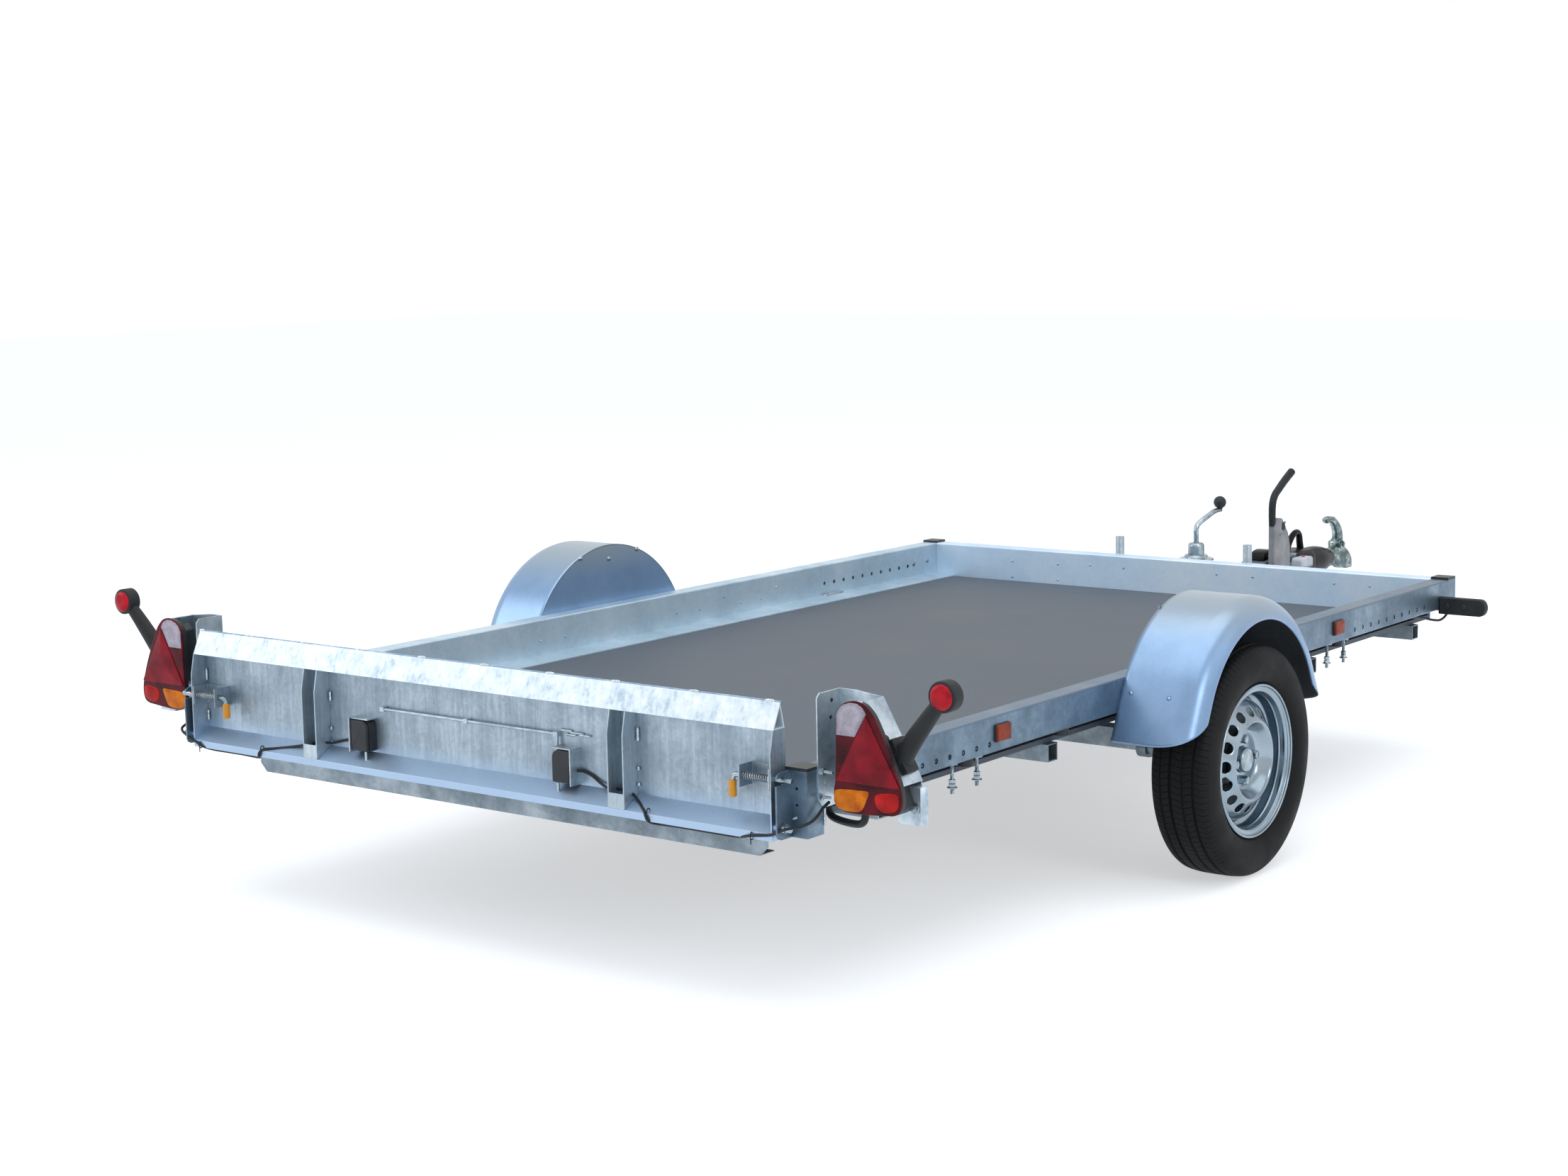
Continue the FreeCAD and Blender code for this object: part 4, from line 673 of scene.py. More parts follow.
def makeFender(side):
    # side view: a slanted, a level and a slanted line with big arcs, walked by length l; across it
    # goes flat, then round the shoulder by (R sin a, R (1 - cos a)) and ends in a rolled edge; a
    # point lies at crest(l) + normal(l) * depth; from the corner's start on, the lower end rises by
    # rise * (1 - sqrt(1 - q squared)), q the share of the way to the rolled edge
    size, out = fenderSize, outward[side]
    lean = math.radians(size["lean"])
    inward = math.tan(lean) * (size["top"] - size["bottom"])
    corners = [(-size["rear"], size["bottom"]), (inward - size["rear"], size["top"]),
               (size["front"] - inward, size["top"]), (size["front"], size["bottom"])]
    arc = size["arcSteps"]
    bend = rounded(corners, (0.01, size["round"], size["round"], 0.01), arc)[arc - 1:3 * arc + 1]
    length = np.concatenate([[0], np.cumsum(np.linalg.norm(np.diff(bend, axis=0), axis=1))])
    walk = np.linspace(0, length[-1], size["walkSteps"])
    crest = np.column_stack([np.interp(walk, length, along) for along in bend.T])
    slope = unit(np.gradient(crest, axis=0))
    normal = np.column_stack([slope[:, 1], -slope[:, 0]])
    radius = size["shoulder"]
    flat = np.linspace(0, size["width"] - radius, 16)[:-1]
    a = np.radians(np.linspace(0, size["roundTo"], 22))
    curl = np.radians(np.linspace(20, 190, 9))
    endX = size["width"] - radius + radius * math.sin(a[-1])
    endDepth = radius * (1 - math.cos(a[-1]))
    x = np.concatenate([flat, size["width"] - radius + radius * np.sin(a),
                        endX - size["curl"] * (1 - np.cos(curl))])
    depth = np.concatenate([0 * flat, radius * (1 - np.cos(a)),
                            endDepth + size["curl"] * np.sin(curl) + 0.5])
    run = np.concatenate([[0], np.cumsum(np.hypot(np.diff(x), np.diff(depth)))])
    q = np.clip((run - size["cornerStart"]) / (run[-1] - size["cornerStart"]), 0, 1)
    rise = size["cornerRise"] * (1 - np.sqrt(1 - q ** 2))
    start = (rise + depth * math.sin(lean)) / math.cos(lean)
    l = start + (walk[-1] - 2 * start) * np.linspace(0, 1, size["rows"])[:, None]
    y, z, leanY, leanZ = (np.interp(l, walk, v) for v in (*crest.T, *normal.T))
    s = axleStation + y + leanY * depth
    z = z + leanZ * depth
    grid = np.stack([out * (railFace + x + 0 * s), s - originStation, z], -1) * mm
    heart = at(out * railFace, axleStation, 300)
    makeSheet("fenderSheet" + side, "deck", [zincFenderPaintedSky, fenderInside], [grid], heart, size["sheet"],
              replaces=("fender_" + side.lower(),))
    place = facing(faceAxis[out], at(out * railFace, axleStation, 0))
    wall = slab(crest[:-6:6], 0, size["sheet"], 0.5, place)
    makePiece("fenderWall" + side, "deck", zincFenderPaintedSky, [wall])


makeFender("Right")
makeFender("Left")
print("fenders made")

# the tail lamps, one outline across the rail's outer face and up

lampSize = {"rear": 62, "depth": 20, "edge": 2.2}


def makeTailLamps():
    # red lens plate with a raised rim; on it a reflex triangle, a clear window, an amber and a
    # bright red window, each a crowned plate of its own outline
    rim = smooth([(50, 590), (52, 608), (57, 621), (68, 631), (84, 637), (99, 638), (115, 634), (128, 624),
                  (139, 611), (150, 591), (167, 557), (182, 524), (195, 490), (200, 470), (201, 452),
                  (196, 435), (182, 427), (164, 425), (130, 422), (90, 420), (62, 423), (48, 434),
                  (43, 449), (44, 465), (47, 482), (49, 530)],
                 4, closed=True)
    tub = rounded([(90, 622), (66, 608), (60, 470), (60, 438), (85, 434), (178, 424), (194, 440),
                   (178, 480), (106, 612)], 7)
    triangle = rounded([(122, 613), (49, 480), (197, 480)], 2.5)
    clear = rounded([(52, 569), (96, 569), (122, 615), (114, 627), (100, 634), (85, 634), (69, 629),
                     (59, 621), (53, 608)],
                    (1.5, 3, 3, 10, 14, 14, 12, 10, 8), 5)
    amber = smooth([(45, 451), (49, 462), (72, 466), (100, 467), (125, 467), (121, 451), (107, 428),
                    (80, 424), (57, 427), (46, 438)], 5, closed=True)
    signal = smooth([(140, 451), (143, 463), (164, 469), (190, 469), (195, 455), (189, 439), (165, 431),
                     (147, 438)],
                    5, closed=True)
    depth = lampSize["depth"]
    # each plate: outline, low and high face, edge radius, crown
    plates = {"Lens": [(rim, depth - 9, depth - 3, lampSize["edge"], 1.5)],
              "Housing": [(tub, -37, 1, 3, 0), (insetLoop(rim, 2.5), -1, depth - 8.5, 1, 0)],
              "Triangle": [(triangle, depth - 6, depth + 0.5, 2, 1.5)],
              "Clear": [(clear, depth - 6, depth - 1.5, 1.5, 1.5)],
              "Amber": [(amber, depth - 6, depth - 1.0, 1.5, 1.5)],
              "Signal": [(signal, depth - 6, depth - 1.0, 1.5, 1.5)]}
    looks = {"Lens": (lensRed, "lamp_plastic"), "Housing": (blackPlastic, "black_plastic"),
             "Triangle": (lensDeep, "lamp_plastic"), "Clear": (lensClear, "lamp_plastic"),
             "Amber": (lensAmber, "amber_plastic"), "Signal": (lensSignal, "lamp_plastic")}
    for name, forms in plates.items():
        shells = []
        for side in rightAndLeft:
            place = facing("-y", at(side * railFace, lampSize["rear"] + depth, 0), side)
            shells += [slab(*form[:4], place, crown=form[4]) for form in forms]
        material, slot = looks[name]
        makePiece("tailLamp" + name, "deck", material, shells,
                  replaces=("tail_lamps",) if name == "Lens" else ())


makeTailLamps()

markerSize = {"reach": 1184, "height": 661, "station": 96, "radius": 30.5, "foot": 92,
              "screw": (1050, 91, 566), "armRoot": 22.5, "armTip": 14.5}


def makeMarkers():
    # a rubber arm whose radius falls evenly from root to head, a foot, and a round head with a
    # red lens behind and a clear one in front
    rubber, red, clear, bolts = [], [], [], []
    for side in rightAndLeft:
        root = line([(1068, 112, 516), (1083, 109, 541), (1107, 105, 572), (1140, 101, 612),
                     (1168, 97, 645)])
        path = smooth(root * [side, 1, 1], 10)
        radius = np.linspace(markerSize["armRoot"], markerSize["armTip"], len(path))
        rubber.append(swept(path, radius, (0, 1, 0), 28))
        foot = rounded([(148, 561), (184, 499), (197, 507), (161, 569)], 3)
        rubber.append(slab(foot, 0, 40, 2, facing("+y", at(side * railFace, markerSize["foot"], 0), side)))
        centre = at(side * markerSize["reach"], markerSize["station"], markerSize["height"])
        r = markerSize["radius"]
        body = [(-16, r - 5), (-15.5, r - 2), (-13.5, r - 0.2), (-11, r), (11, r), (13.5, r - 0.2),
                (15.5, r - 2), (16, r - 5)]
        rubber.append(turned(centre, (0, 1, 0), body, 56))
        dome = [(13, r - 5.5), (17, r - 5.8), (19.5, r - 8), (21.5, r - 13), (22.6, r - 20), (23, 0)]
        red.append(turned(centre, (0, -1, 0), dome, 48))
        clear.append(turned(centre, (0, 1, 0), dome, 48))
        spot = at(*markerSize["screw"]) * [side, 1, 1]
        bolts.append(turned(spot, (0, -1, 0), [(0, 9), (4, 9), (7, 7), (8, 0)], 24))
    makePiece("markerArms", "deck", blackRubber, rubber, replaces=("marker_arms",))
    makePiece("markerRedLens", "deck", lensMarker, red)
    makePiece("markerClearLens", "deck", lensClear, clear)
    makePiece("markerArmScrews", "deck", blackPlastic, bolts)


makeMarkers()

frontMarker = {"station": 3010, "height": 430, "depth": 26}


def makeFrontMarkers():
    # a rubber plate with a round end and two raised screws, and a clear lens on its front
    outline = rounded([(-1, 406), (130, 406), (138, 430), (130, 454), (-1, 454)], (3, 18, 22, 18, 3), 8)
    lens = rounded([(78, 412), (124, 412), (132, 430), (124, 448), (78, 448)], (4, 12, 14, 12, 4), 6)
    rubber, clear, screws = [], [], []
    for side in rightAndLeft:
        place = facing("+y", at(side * railFace, frontMarker["station"], 0), side)
        rubber.append(slab(outline, 0, frontMarker["depth"], 4, place, crown=0.5))
        clear.append(slab(lens, frontMarker["depth"] - 2, frontMarker["depth"] + 4, 3, place, crown=2))
        for x in (26, 74):
            spot = at(side * (railFace + x), frontMarker["station"] + 1, frontMarker["height"])
            screws.append(turned(spot, (0, -1, 0), [(0, 8), (3, 7.6), (5, 6), (5.6, 0)], 24))
    makePiece("frontMarkerBodies", "deck", blackRubber, rubber, replaces=("front_markers",))
    makePiece("frontMarkerLenses", "deck", lensClear, clear)
    makePiece("frontMarkerScrews", "deck", blackPlastic, screws)


makeFrontMarkers()


reflectorSize = {"stations": (725, 2356), "half": 28, "low": 438, "high": 476}


def makeReflectors():
    # amber reflex plates in a thin black rim, screwed to the rail's outer wall
    amber, rims = [], []
    low, high = reflectorSize["low"], reflectorSize["high"]
    for station in reflectorSize["stations"]:
        rear, front = station - reflectorSize["half"], station + reflectorSize["half"]
        outline = rounded([(rear, low), (front, low), (front, high), (rear, high)], 4)
        for side in rightAndLeft:
            place = facing(faceAxis[side], at(side * railFace, 0, 0))
            rims.append(slab(outline, 0, 4.5, 1.2, place))
            amber.append(slab(insetLoop(outline, 1.6), 2, 9, 2.4, place, crown=0.8))
    makePiece("sideReflectors", "deck", reflexAmber, amber,
              replaces=("side_reflectors",))
    makePiece("sideReflectorRims", "deck", blackPlastic, rims)


makeReflectors()
print("lamps made")

# the rails' small fittings

rodSize = {"x": 880, "stations": (568, 662, 2340, 2440), "low": 350, "radius": 4, "pitch": 1.75,
           "length": 66, "step": 0.45, "depth": 0.32}


def makeClampRods():
    # a screw thread: the radius swings by a third of a millimetre with the height over the pitch
    # less the angle's share of a turn; each rod has a washer and two nuts
    height = np.arange(0, rodSize["length"], rodSize["step"])[:, None]
    ring = unitRing(14)
    share = np.arange(14) / 14
    turns = height / rodSize["pitch"] - share
    r = rodSize["radius"] + rodSize["depth"] * np.sin(2 * math.pi * turns)
    thread = np.stack([ring[:, 0] * r, ring[:, 1] * r, height + 0 * r], -1) * mm
    nut = [(0, 9), (1, 9), (1, 8.2), (1.6, 8.6), (6.4, 8.6), (7, 8.2), (7.6, 4.2)]
    shells = []
    for side in rightAndLeft:
        for station in rodSize["stations"]:
            foot = at(side * rodSize["x"], station, rodSize["low"])
            shells.append(foot + thread)
            for lift in (14, 23):
                shells.append(turned(foot + [0, 0, lift * mm], (0, 0, 1), nut, 36, station, flats=13))
            for lift, washer in ((12, [(0, 11), (1.8, 11), (1.8, 4.2)]),
                                 (62, [(0, 13), (3, 13), (4.9, 12)])):
                shells.append(turned(foot + [0, 0, lift * mm], (0, 0, 1), washer, 28))
    makePiece("clampRods", "deck", platedSteel, shells, replaces=("clamp_rods",))


makeClampRods()


leadRadius = {"rear": 7.5, "front": 3.4}


def makeLeads():
    # the lamp leads: a smooth curve through the points where they leave the rail, hang and rise
    shells = []
    for side in rightAndLeft:
        route = line([(884, 132, 417), (884, 132, 402), (892, 130, 391), (915, 126, 386), (952, 117, 386),
                      (978, 109, 391), (990, 105, 404), (992, 105, 432)]) * [side, 1, 1]
        shells.append(swept(smooth(route, 6), leadRadius["rear"], (0, 1, 0.05), 16))
        route = line([(915, 3034, 430), (915, 3048, 424), (915, 3040, 404), (914, 3000, 392),
                      (908, 2960, 396), (898, 2900, 410), (890, 2830, 420)]) * [side, 1, 1]
        shells.append(swept(smooth(route, 6), leadRadius["front"], (1, 0.02, 0), 12))
    makePiece("lampLeads", "deck", blackCable, shells, replaces=("lamp_leads",))


makeLeads()
print("fittings made")

# the tailgate

gateSize = {"half": 845, "ridge": 34, "top": 626, "panel": 44,
            "tabs": (-839, -674, -492, -313, -123, 62, 249, 428, 631, 819), "tabLength": 24}


def makeGateRidge():
    # the inner sheet's edge behind the top tube, and the short welds that hold it along the ridge
    y, z = gateSize["ridge"] - originStation, gateSize["top"]
    lip = rounded([(y + 1.6, z - 9), (y + 6.4, z - 9), (y + 6.4, z + 1.4), (y + 2.6, z + 1.4)], 1.2, 4)
    place = facing("+x")
    half = gateSize["half"] - 1
    # the lip takes the painted-shade zinc
    makePiece("gateRidgeLip", "tailgate", zincInPaintedShade, [slab(lip, -half, half, 0.6, place)])
    tabs = []
    for x in gateSize["tabs"]:
        reach = min(gateSize["tabLength"] / 2, half - abs(x) + 3)
        s = gateSize["ridge"] + 1.5
        tabs.append(bead([(x - reach, s, z), (x + reach, s, z)], 3.4, (0, 0, 1), lumps=4))
    makePiece("gateRidgeWelds", "tailgate", weldZinc, tabs)


weldRuns = {"upright": ((-838.5, 508, 538), (-838.5, 415, 440), (-422, 500, 523),
                        (-422, 436, 444), (-422, 405, 412), (477, 508, 538), (477, 449, 457),
                        (477, 416, 424)),
            "level": ((-444, -420, 375), (453, 474, 377), (266, 300, 510), (296, 332, 507), (322, 350, 504),
                      (280, 312, 502))}


def makeGateWelds():
    # short runs up the ribs' sides and the end plates, and flat ones at the ribs' feet
    shells = []
    face = gateSize["panel"] - 3.5
    for x, low, high in weldRuns["upright"]:
        shells.append(bead([(x, face, low), (x, face, high)], 3.3, (1, 0, 0), lumps=(high - low) / 7))
    for first, last, z in weldRuns["level"]:
        s = 24 if z < 400 else face
        shells.append(bead([(first, s, z), (last, s, z)], 3.6, (0, 1, 0), lumps=(last - first) / 7))
    makePiece("gateWelds", "tailgate", weldZinc, shells)


makeGateRidge()
makeGateWelds()

latchSize = {"station": 13, "height": 479, "radius": 5.5, "tip": 887, "elbow": 741, "coil": 7.1,
             "wire": 0.95, "fixed": 770, "collar": 832, "turns": 11}


def makeLatch(name):
    # a plated pin bent down at its inner end, a vinyl grip, a washer, and a helical spring:
    # the coil's angle runs evenly along it
    size, side, low = latchSize, outward[name], name.lower()
    s, z, elbow = size["station"], size["height"], size["elbow"]
    run = line([(size["tip"], s, z), (800, s, z), (758, s, z), (748, s, z - 1.2), (742.4, s, z - 6),
                (elbow, s, z - 15), (elbow, s, z - 41)]) * [side, 1, 1]
    pin = swept(smooth(run, 6), size["radius"], (0, 1, 0), 22)
    washer = turned(at(side * (size["collar"] + 0.3), s, z), (side, 0, 0),
                    [(0, 8.8), (0.6, 9), (3, 9), (3.6, 8.6)], 30)
    makePiece("latchPin" + name, "latch_" + low, platedSteel, [pin, washer],
              replaces=("latch_pin_" + low,))
    form = [(0, 5.7), (0.6, 7.4), (2.2, 8.3), (6, 8.1), (14, 7.7), (24, 7.9), (31, 8.3), (33.4, 7.4),
            (34.4, 5), (34.5, 0)]
    grip = turned(at(side * elbow, s, z - 11.5), (0, 0, -1), form, 32)
    makePiece("latchGrip" + name, "latch_" + low, orangeVinyl, [grip])
    t = np.linspace(0, 1, size["turns"] * 16 + 1)
    angle = 2 * math.pi * size["turns"] * t
    x = size["fixed"] + (size["collar"] - 1.2 - size["fixed"]) * t
    helix = line(np.column_stack([x, s + size["coil"] * np.cos(angle), z + size["coil"] * np.sin(angle)]))
    coil = makePiece("latchSpring" + name, "tailgate", springSteel,
                     [swept(helix * [side, 1, 1], size["wire"], (1, 0, 0), 7)],
                     replaces=("latch_spring_" + low,), soft=60)
    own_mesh(coil)


makeLatch("Right")
makeLatch("Left")

plateLampSize = {"right": 263, "left": 281, "wide": 52, "low": 404, "high": 474, "rear": 14, "depth": 27}


def makePlateLamps():
    # black lamp bodies with one well rounded upper corner, a cover line and two screws
    size = plateLampSize
    shells, screws = [], []
    for side, inner in ((1, size["right"]), (-1, size["left"])):
        outer = inner + size["wide"]
        loop = rounded([(inner, size["low"]), (outer, size["low"]), (outer, size["high"]),
                        (inner, size["high"])],
                       (5, 4, 5, 17), 8)
        place = facing("-y", at(0, size["rear"] + size["depth"], 0), side)
        shells.append(slab(loop, 0, size["depth"] - 9, 0.8, place))
        shells.append(slab(insetLoop(loop, 1.0), size["depth"] - 9.2, size["depth"], 3.5, place))
        for lift in (56, 12):
            screws.append(turned(at(side * (inner + 30), size["rear"] + 0.3, size["low"] + lift),
                                 (0, -1, 0), [(0, 3.6), (0.2, 3.4), (0.3, 1.4), (-0.6, 0)], 20))
    makePiece("plateLamps", "tailgate", blackPlastic, shells,
              replaces=("plate_lamps",))
    makePiece("plateLampScrews", "tailgate", blackRubber, screws)
    stub = [swept(line([(x, 21, 404), (x, 21, 381)]), 3, (0, 1, 0), 16) for x in (275, -293)]
    makePiece("plateLampStuds", "tailgate", platedSteel, stub)


makePlateLamps()

gateCable = {"radius": 3.1, "tieAcross": 5.2, "tieUp": 7.4,
             "right": ((318, 34, 431), (331, 39, 430), (353, 40, 423), (377, 38, 411), (398, 32, 406),
                       (420, 27, 408), (452, 27, 408), (474, 27, 401), (492, 22, 390), (508, 13, 382),
                       (522, 3, 378), (530, -3, 371), (535, -2, 362), (545, 6, 356), (600, 10, 356),
                       (740, 9, 356), (772, 2, 360), (796, -3, 366), (838, -2, 372)),
             "left": ((-336, 34, 423), (-352, 38, 421), (-379, 39, 417), (-412, 32, 409), (-448, 28, 407),
                      (-476, 27, 401), (-510, 24, 393), (-548, 19, 386), (-582, 10, 381), (-606, 2, 378),
                      (-615, -3, 371), (-620, -2, 362), (-630, 6, 356), (-690, 10, 356), (-780, 9, 356),
                      (-806, 2, 360), (-822, -3, 366), (-838, -2, 372)),
             "ties": (530, 796, -615, -822)}


def makeGateCables():
    # lamp cables tied to the tailgate's lip, curves through listed points, with thin ties round them
    routes = gateCable["right"], gateCable["left"]
    shells = [swept(smooth(line(route), 7), gateCable["radius"], (0, 0.3, 1), 12) for route in routes]
    makePiece("gateCables", "tailgate", blackCable, shells)
    ties = []
    cosine, sine = unitRing(24).T
    for x in gateCable["ties"]:
        _, s, z = next(p for p in routes[0] + routes[1] if abs(p[0] - x) < 12)
        loop = line(np.column_stack([x + 0 * sine, s + 2.9 + gateCable["tieAcross"] * cosine,
                                     z - 1 + gateCable["tieUp"] * sine]))
        ties.append((swept(loop, 1.3, (1, 0, 0), 6), True))
        ties.append(swept(line([(x, s - 1, z - 7), (x + 1.5, s - 2, z - 17)]), 1.1, (1, 0, 0), 6))
    makePiece("gateCableTies", "tailgate", blackCable, ties)


makeGateCables()

postCable = {"radius": 3.1,
             "route": ((838, -2, 372), (846, -3, 374), (856, -3, 378), (868, -3, 384), (884, 0, 390),
                       (903, 14, 394), (912, 34, 399), (914, 54, 408), (914, 72, 420), (918, 88, 430))}


def makePostCables():
    # the cable's free bow from the gate round the post to the lamp
    for name, side in outward.items():
        route = line(postCable["route"]) * [side, 1, 1]
        tube = swept(smooth(route, 8), postCable["radius"], (0, 0.3, 1), 12)
        piece = makePiece("postCable" + name, None, blackCable, [tube])
        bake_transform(piece)


makePostCables()

hingeBolt = {"x": 864, "station": 10, "height": 386}


def makeHingeBolts():
    # a threaded end with a nut outside each cheek plate
    shells = []
    nut = [(0.4, 12), (1, 12.2), (1, 10.4), (2, 10.9), (8.4, 10.9), (9.4, 10), (9.4, 6.2)]
    thread = [(10 + a, 6.2 + 0.3 * math.sin(a * 4.2)) for a in np.arange(0, 9.6, 0.4)] + [(19.8, 4.8)]
    for side in rightAndLeft:
        centre = at(side * hingeBolt["x"], hingeBolt["station"], hingeBolt["height"])
        shells.append(turned(centre, (side, 0, 0), nut, 36, flats=18.5))
        shells.append(turned(centre, (side, 0, 0), thread, 24))
    makePiece("hingeBolts", "tailgate", platedSteel, shells)


makeHingeBolts()
print("tailgate made")

# bolts, rivets and welds on the deck

domeHead = [(0, 1.0), (0.6, 1.0), (1.6, 0.86), (2.4, 0.6), (2.9, 0.3), (3.0, 0)]
headLine = [(0, 1.14), (0.5, 1.14), (0.5, 1.02), (1.0, 1.06), (4.6, 1.06), (5.4, 0.98), (5.6, 0)]


def domes(places, direction, radius, scale=1.0):
    # round heads of the given radius, their height scaled
    profile = [(a * scale, r * radius) for a, r in domeHead]
    return [turned(at(*spot), direction, profile, 24) for spot in places]


def hexHead(spot, direction, flats):
    # a bolt's hexagon head over its washer face
    profile = [(a, r * flats / math.sqrt(3)) for a, r in headLine]
    return turned(at(*spot), direction, profile, 24, 0.3, flats)


carrierFace = 905
carrierBolt = (1096, 119, 433)
boltPlaces = {"frontPanel": ((-559, 454), (-559, 403), (-390, 455), (-390, 405), (-272, 460), (-153, 459),
                             (168, 461), (288, 461), (552, 460), (663, 460)),
              "farRail": ((1184, 438), (1282, 436), (1753, 438), (1855, 435), (1967, 458), (2046, 431),
                          (2144, 430), (2218, 456)),
              "farRailLarge": ((2944, 440), (3021, 442)),
              "carrierLeg": ((84, 489), (78, 441)), "carrierHoles": ((118, 623), (114, 590)),
              "fenderRear": ((927, 463), (1025, 460)),
              "fenderInner": ((1409, 631), (1526, 617), (1646, 631))}


def makeDeckBolts():
    # dome rivets through the panels, and bolts that hold the lamp carriers and fenders; flat dark discs
    # paint the shade in the carrier's holes and round the fender's rear rivets
    small, paintedShade = [], []
    rivets = domes([(x, 3075, z) for x, z in boltPlaces["frontPanel"]], (0, -1, 0), 3.4)
    slant = math.tan(math.radians(fenderSize["lean"]))
    washer = [(0, 11), (1.6, 11), (2, 10.4), (2, 3)]
    thread = [(0, 3)] + [(a, 3 + 0.25 * math.sin(a * 4.5)) for a in np.arange(1, 24, 0.4)] + [(25, 2.2)]
    for side in rightAndLeft:
        def along(name, x):
            # the listed places at a distance x on this side
            return [(side * x, s, z) for s, z in boltPlaces[name]]

        rivets += domes(along("farRail", railInside), (-side, 0, 0), 3.6)
        small += domes(along("farRailLarge", railInside), (-side, 0, 0), 8)
        small += domes(along("fenderInner", railFace), (-side, 0, 0), 7.5, 1.2)
        for x, z in boltPlaces["fenderRear"]:
            s = axleStation - fenderSize["rear"] + slant * (z - fenderSize["bottom"])
            rivets += domes([(side * x, s + 0.4, z)], (0, -1, slant), 4.6)
            # painted shade: a flat dark ring round each rear rivet
            paintedShade += domes([(side * x, s + 0.1, z)], (0, -1, slant), 5.6, 0.12)
        # painted shade: dark discs where the carrier's holes are
        paintedShade += domes(along("carrierHoles", carrierFace), (side, 0, 0), 4.2, 0.15)
        for spot in along("carrierLeg", carrierFace):
            small += [hexHead(spot, (side, 0, 0), 12), turned(at(*spot), (side, 0, 0), thread, 16)]
        x, s, z = carrierBolt
        small.append(hexHead((side * x, s, z), (0, -1, 0), 13))
        small.append(turned(at(side * x, s + 0.5, z), (0, -1, 0), washer, 28))
    makePiece("deckBolts", "deck", platedSteel, small)
    makePiece("deckRivets", "deck", zincInPaintedShade, rivets)
    makePiece("carrierHoleAndRivetShade", "deck", blackRubber, paintedShade)


makeDeckBolts()


# each run on the right side: its ends, radius, side direction and number of drops
deckRuns = [((848, 1606, 396), (848, 1624, 396), 3.2, (0, 0, 1), 3),
            ((848, 1768, 396), (848, 1786, 396), 3.2, (0, 0, 1), 3),
            ((850, 1049, 486), (850, 1069, 428), 1.2, (0, 1, 0), 9),
            ((850, 1100, 486), (850, 1120, 428), 1.2, (0, 1, 0), 9),
            ((877, 40, 404), (866, 39, 399), 3, (0, 1, 0), 2),
            ((904, 92, 380), (904, 92, 420), 2.4, (0, 1, 0), 5),
            ((904, 92, 440), (904, 92, 480), 2.4, (0, 1, 0), 5),
            ((1000, 71.5, 637), (1012, 71.5, 636), 1.6, (0, 1, 0), 2)]


def makeDeckWelds():
    # runs where the ledges, posts and outriggers meet the rails
    shells = []
    for side in rightAndLeft:
        for first, last, radius, across, lumps in deckRuns:
            ends = np.array([first, last]) * [side, 1, 1]
            shells.append(bead(ends, radius, across, lumps))
    makePiece("deckWelds", "deck", weldZinc, shells)


makeDeckWelds()

hookSize = {"x": 841, "rear": 2447, "front": 2543, "low": 393, "rise": 9, "radius": 4}


def makeLashingHooks():
    # a bent bar lying on the ledge, its ends turned down into it
    x, rear, front = hookSize["x"], hookSize["rear"], hookSize["front"]
    foot = hookSize["low"] - 2
    top = hookSize["low"] + hookSize["rise"]
    route = [(x, rear, foot), (x, rear + 2, top - 2), (x, rear + 14, top), (x, 2495, top),
             (x, front - 14, top), (x, front - 2, top - 2), (x, front, foot)]
    bar = swept(smooth(line(route), 6), hookSize["radius"], (1, 0, 0), 16)
    makePiece("lashingHooks", "deck", platedSteel, [bar, bar * [-1, 1, 1]])


makeLashingHooks()
print("deck fittings made")

# the jockey wheel, the coupling and its brake

jockeySize = {"x": -85, "station": 3417, "wheel": 95, "wide": 25, "fork": (194, 201), "cheeks": (-34, 28),
              "cheekSheet": 6}


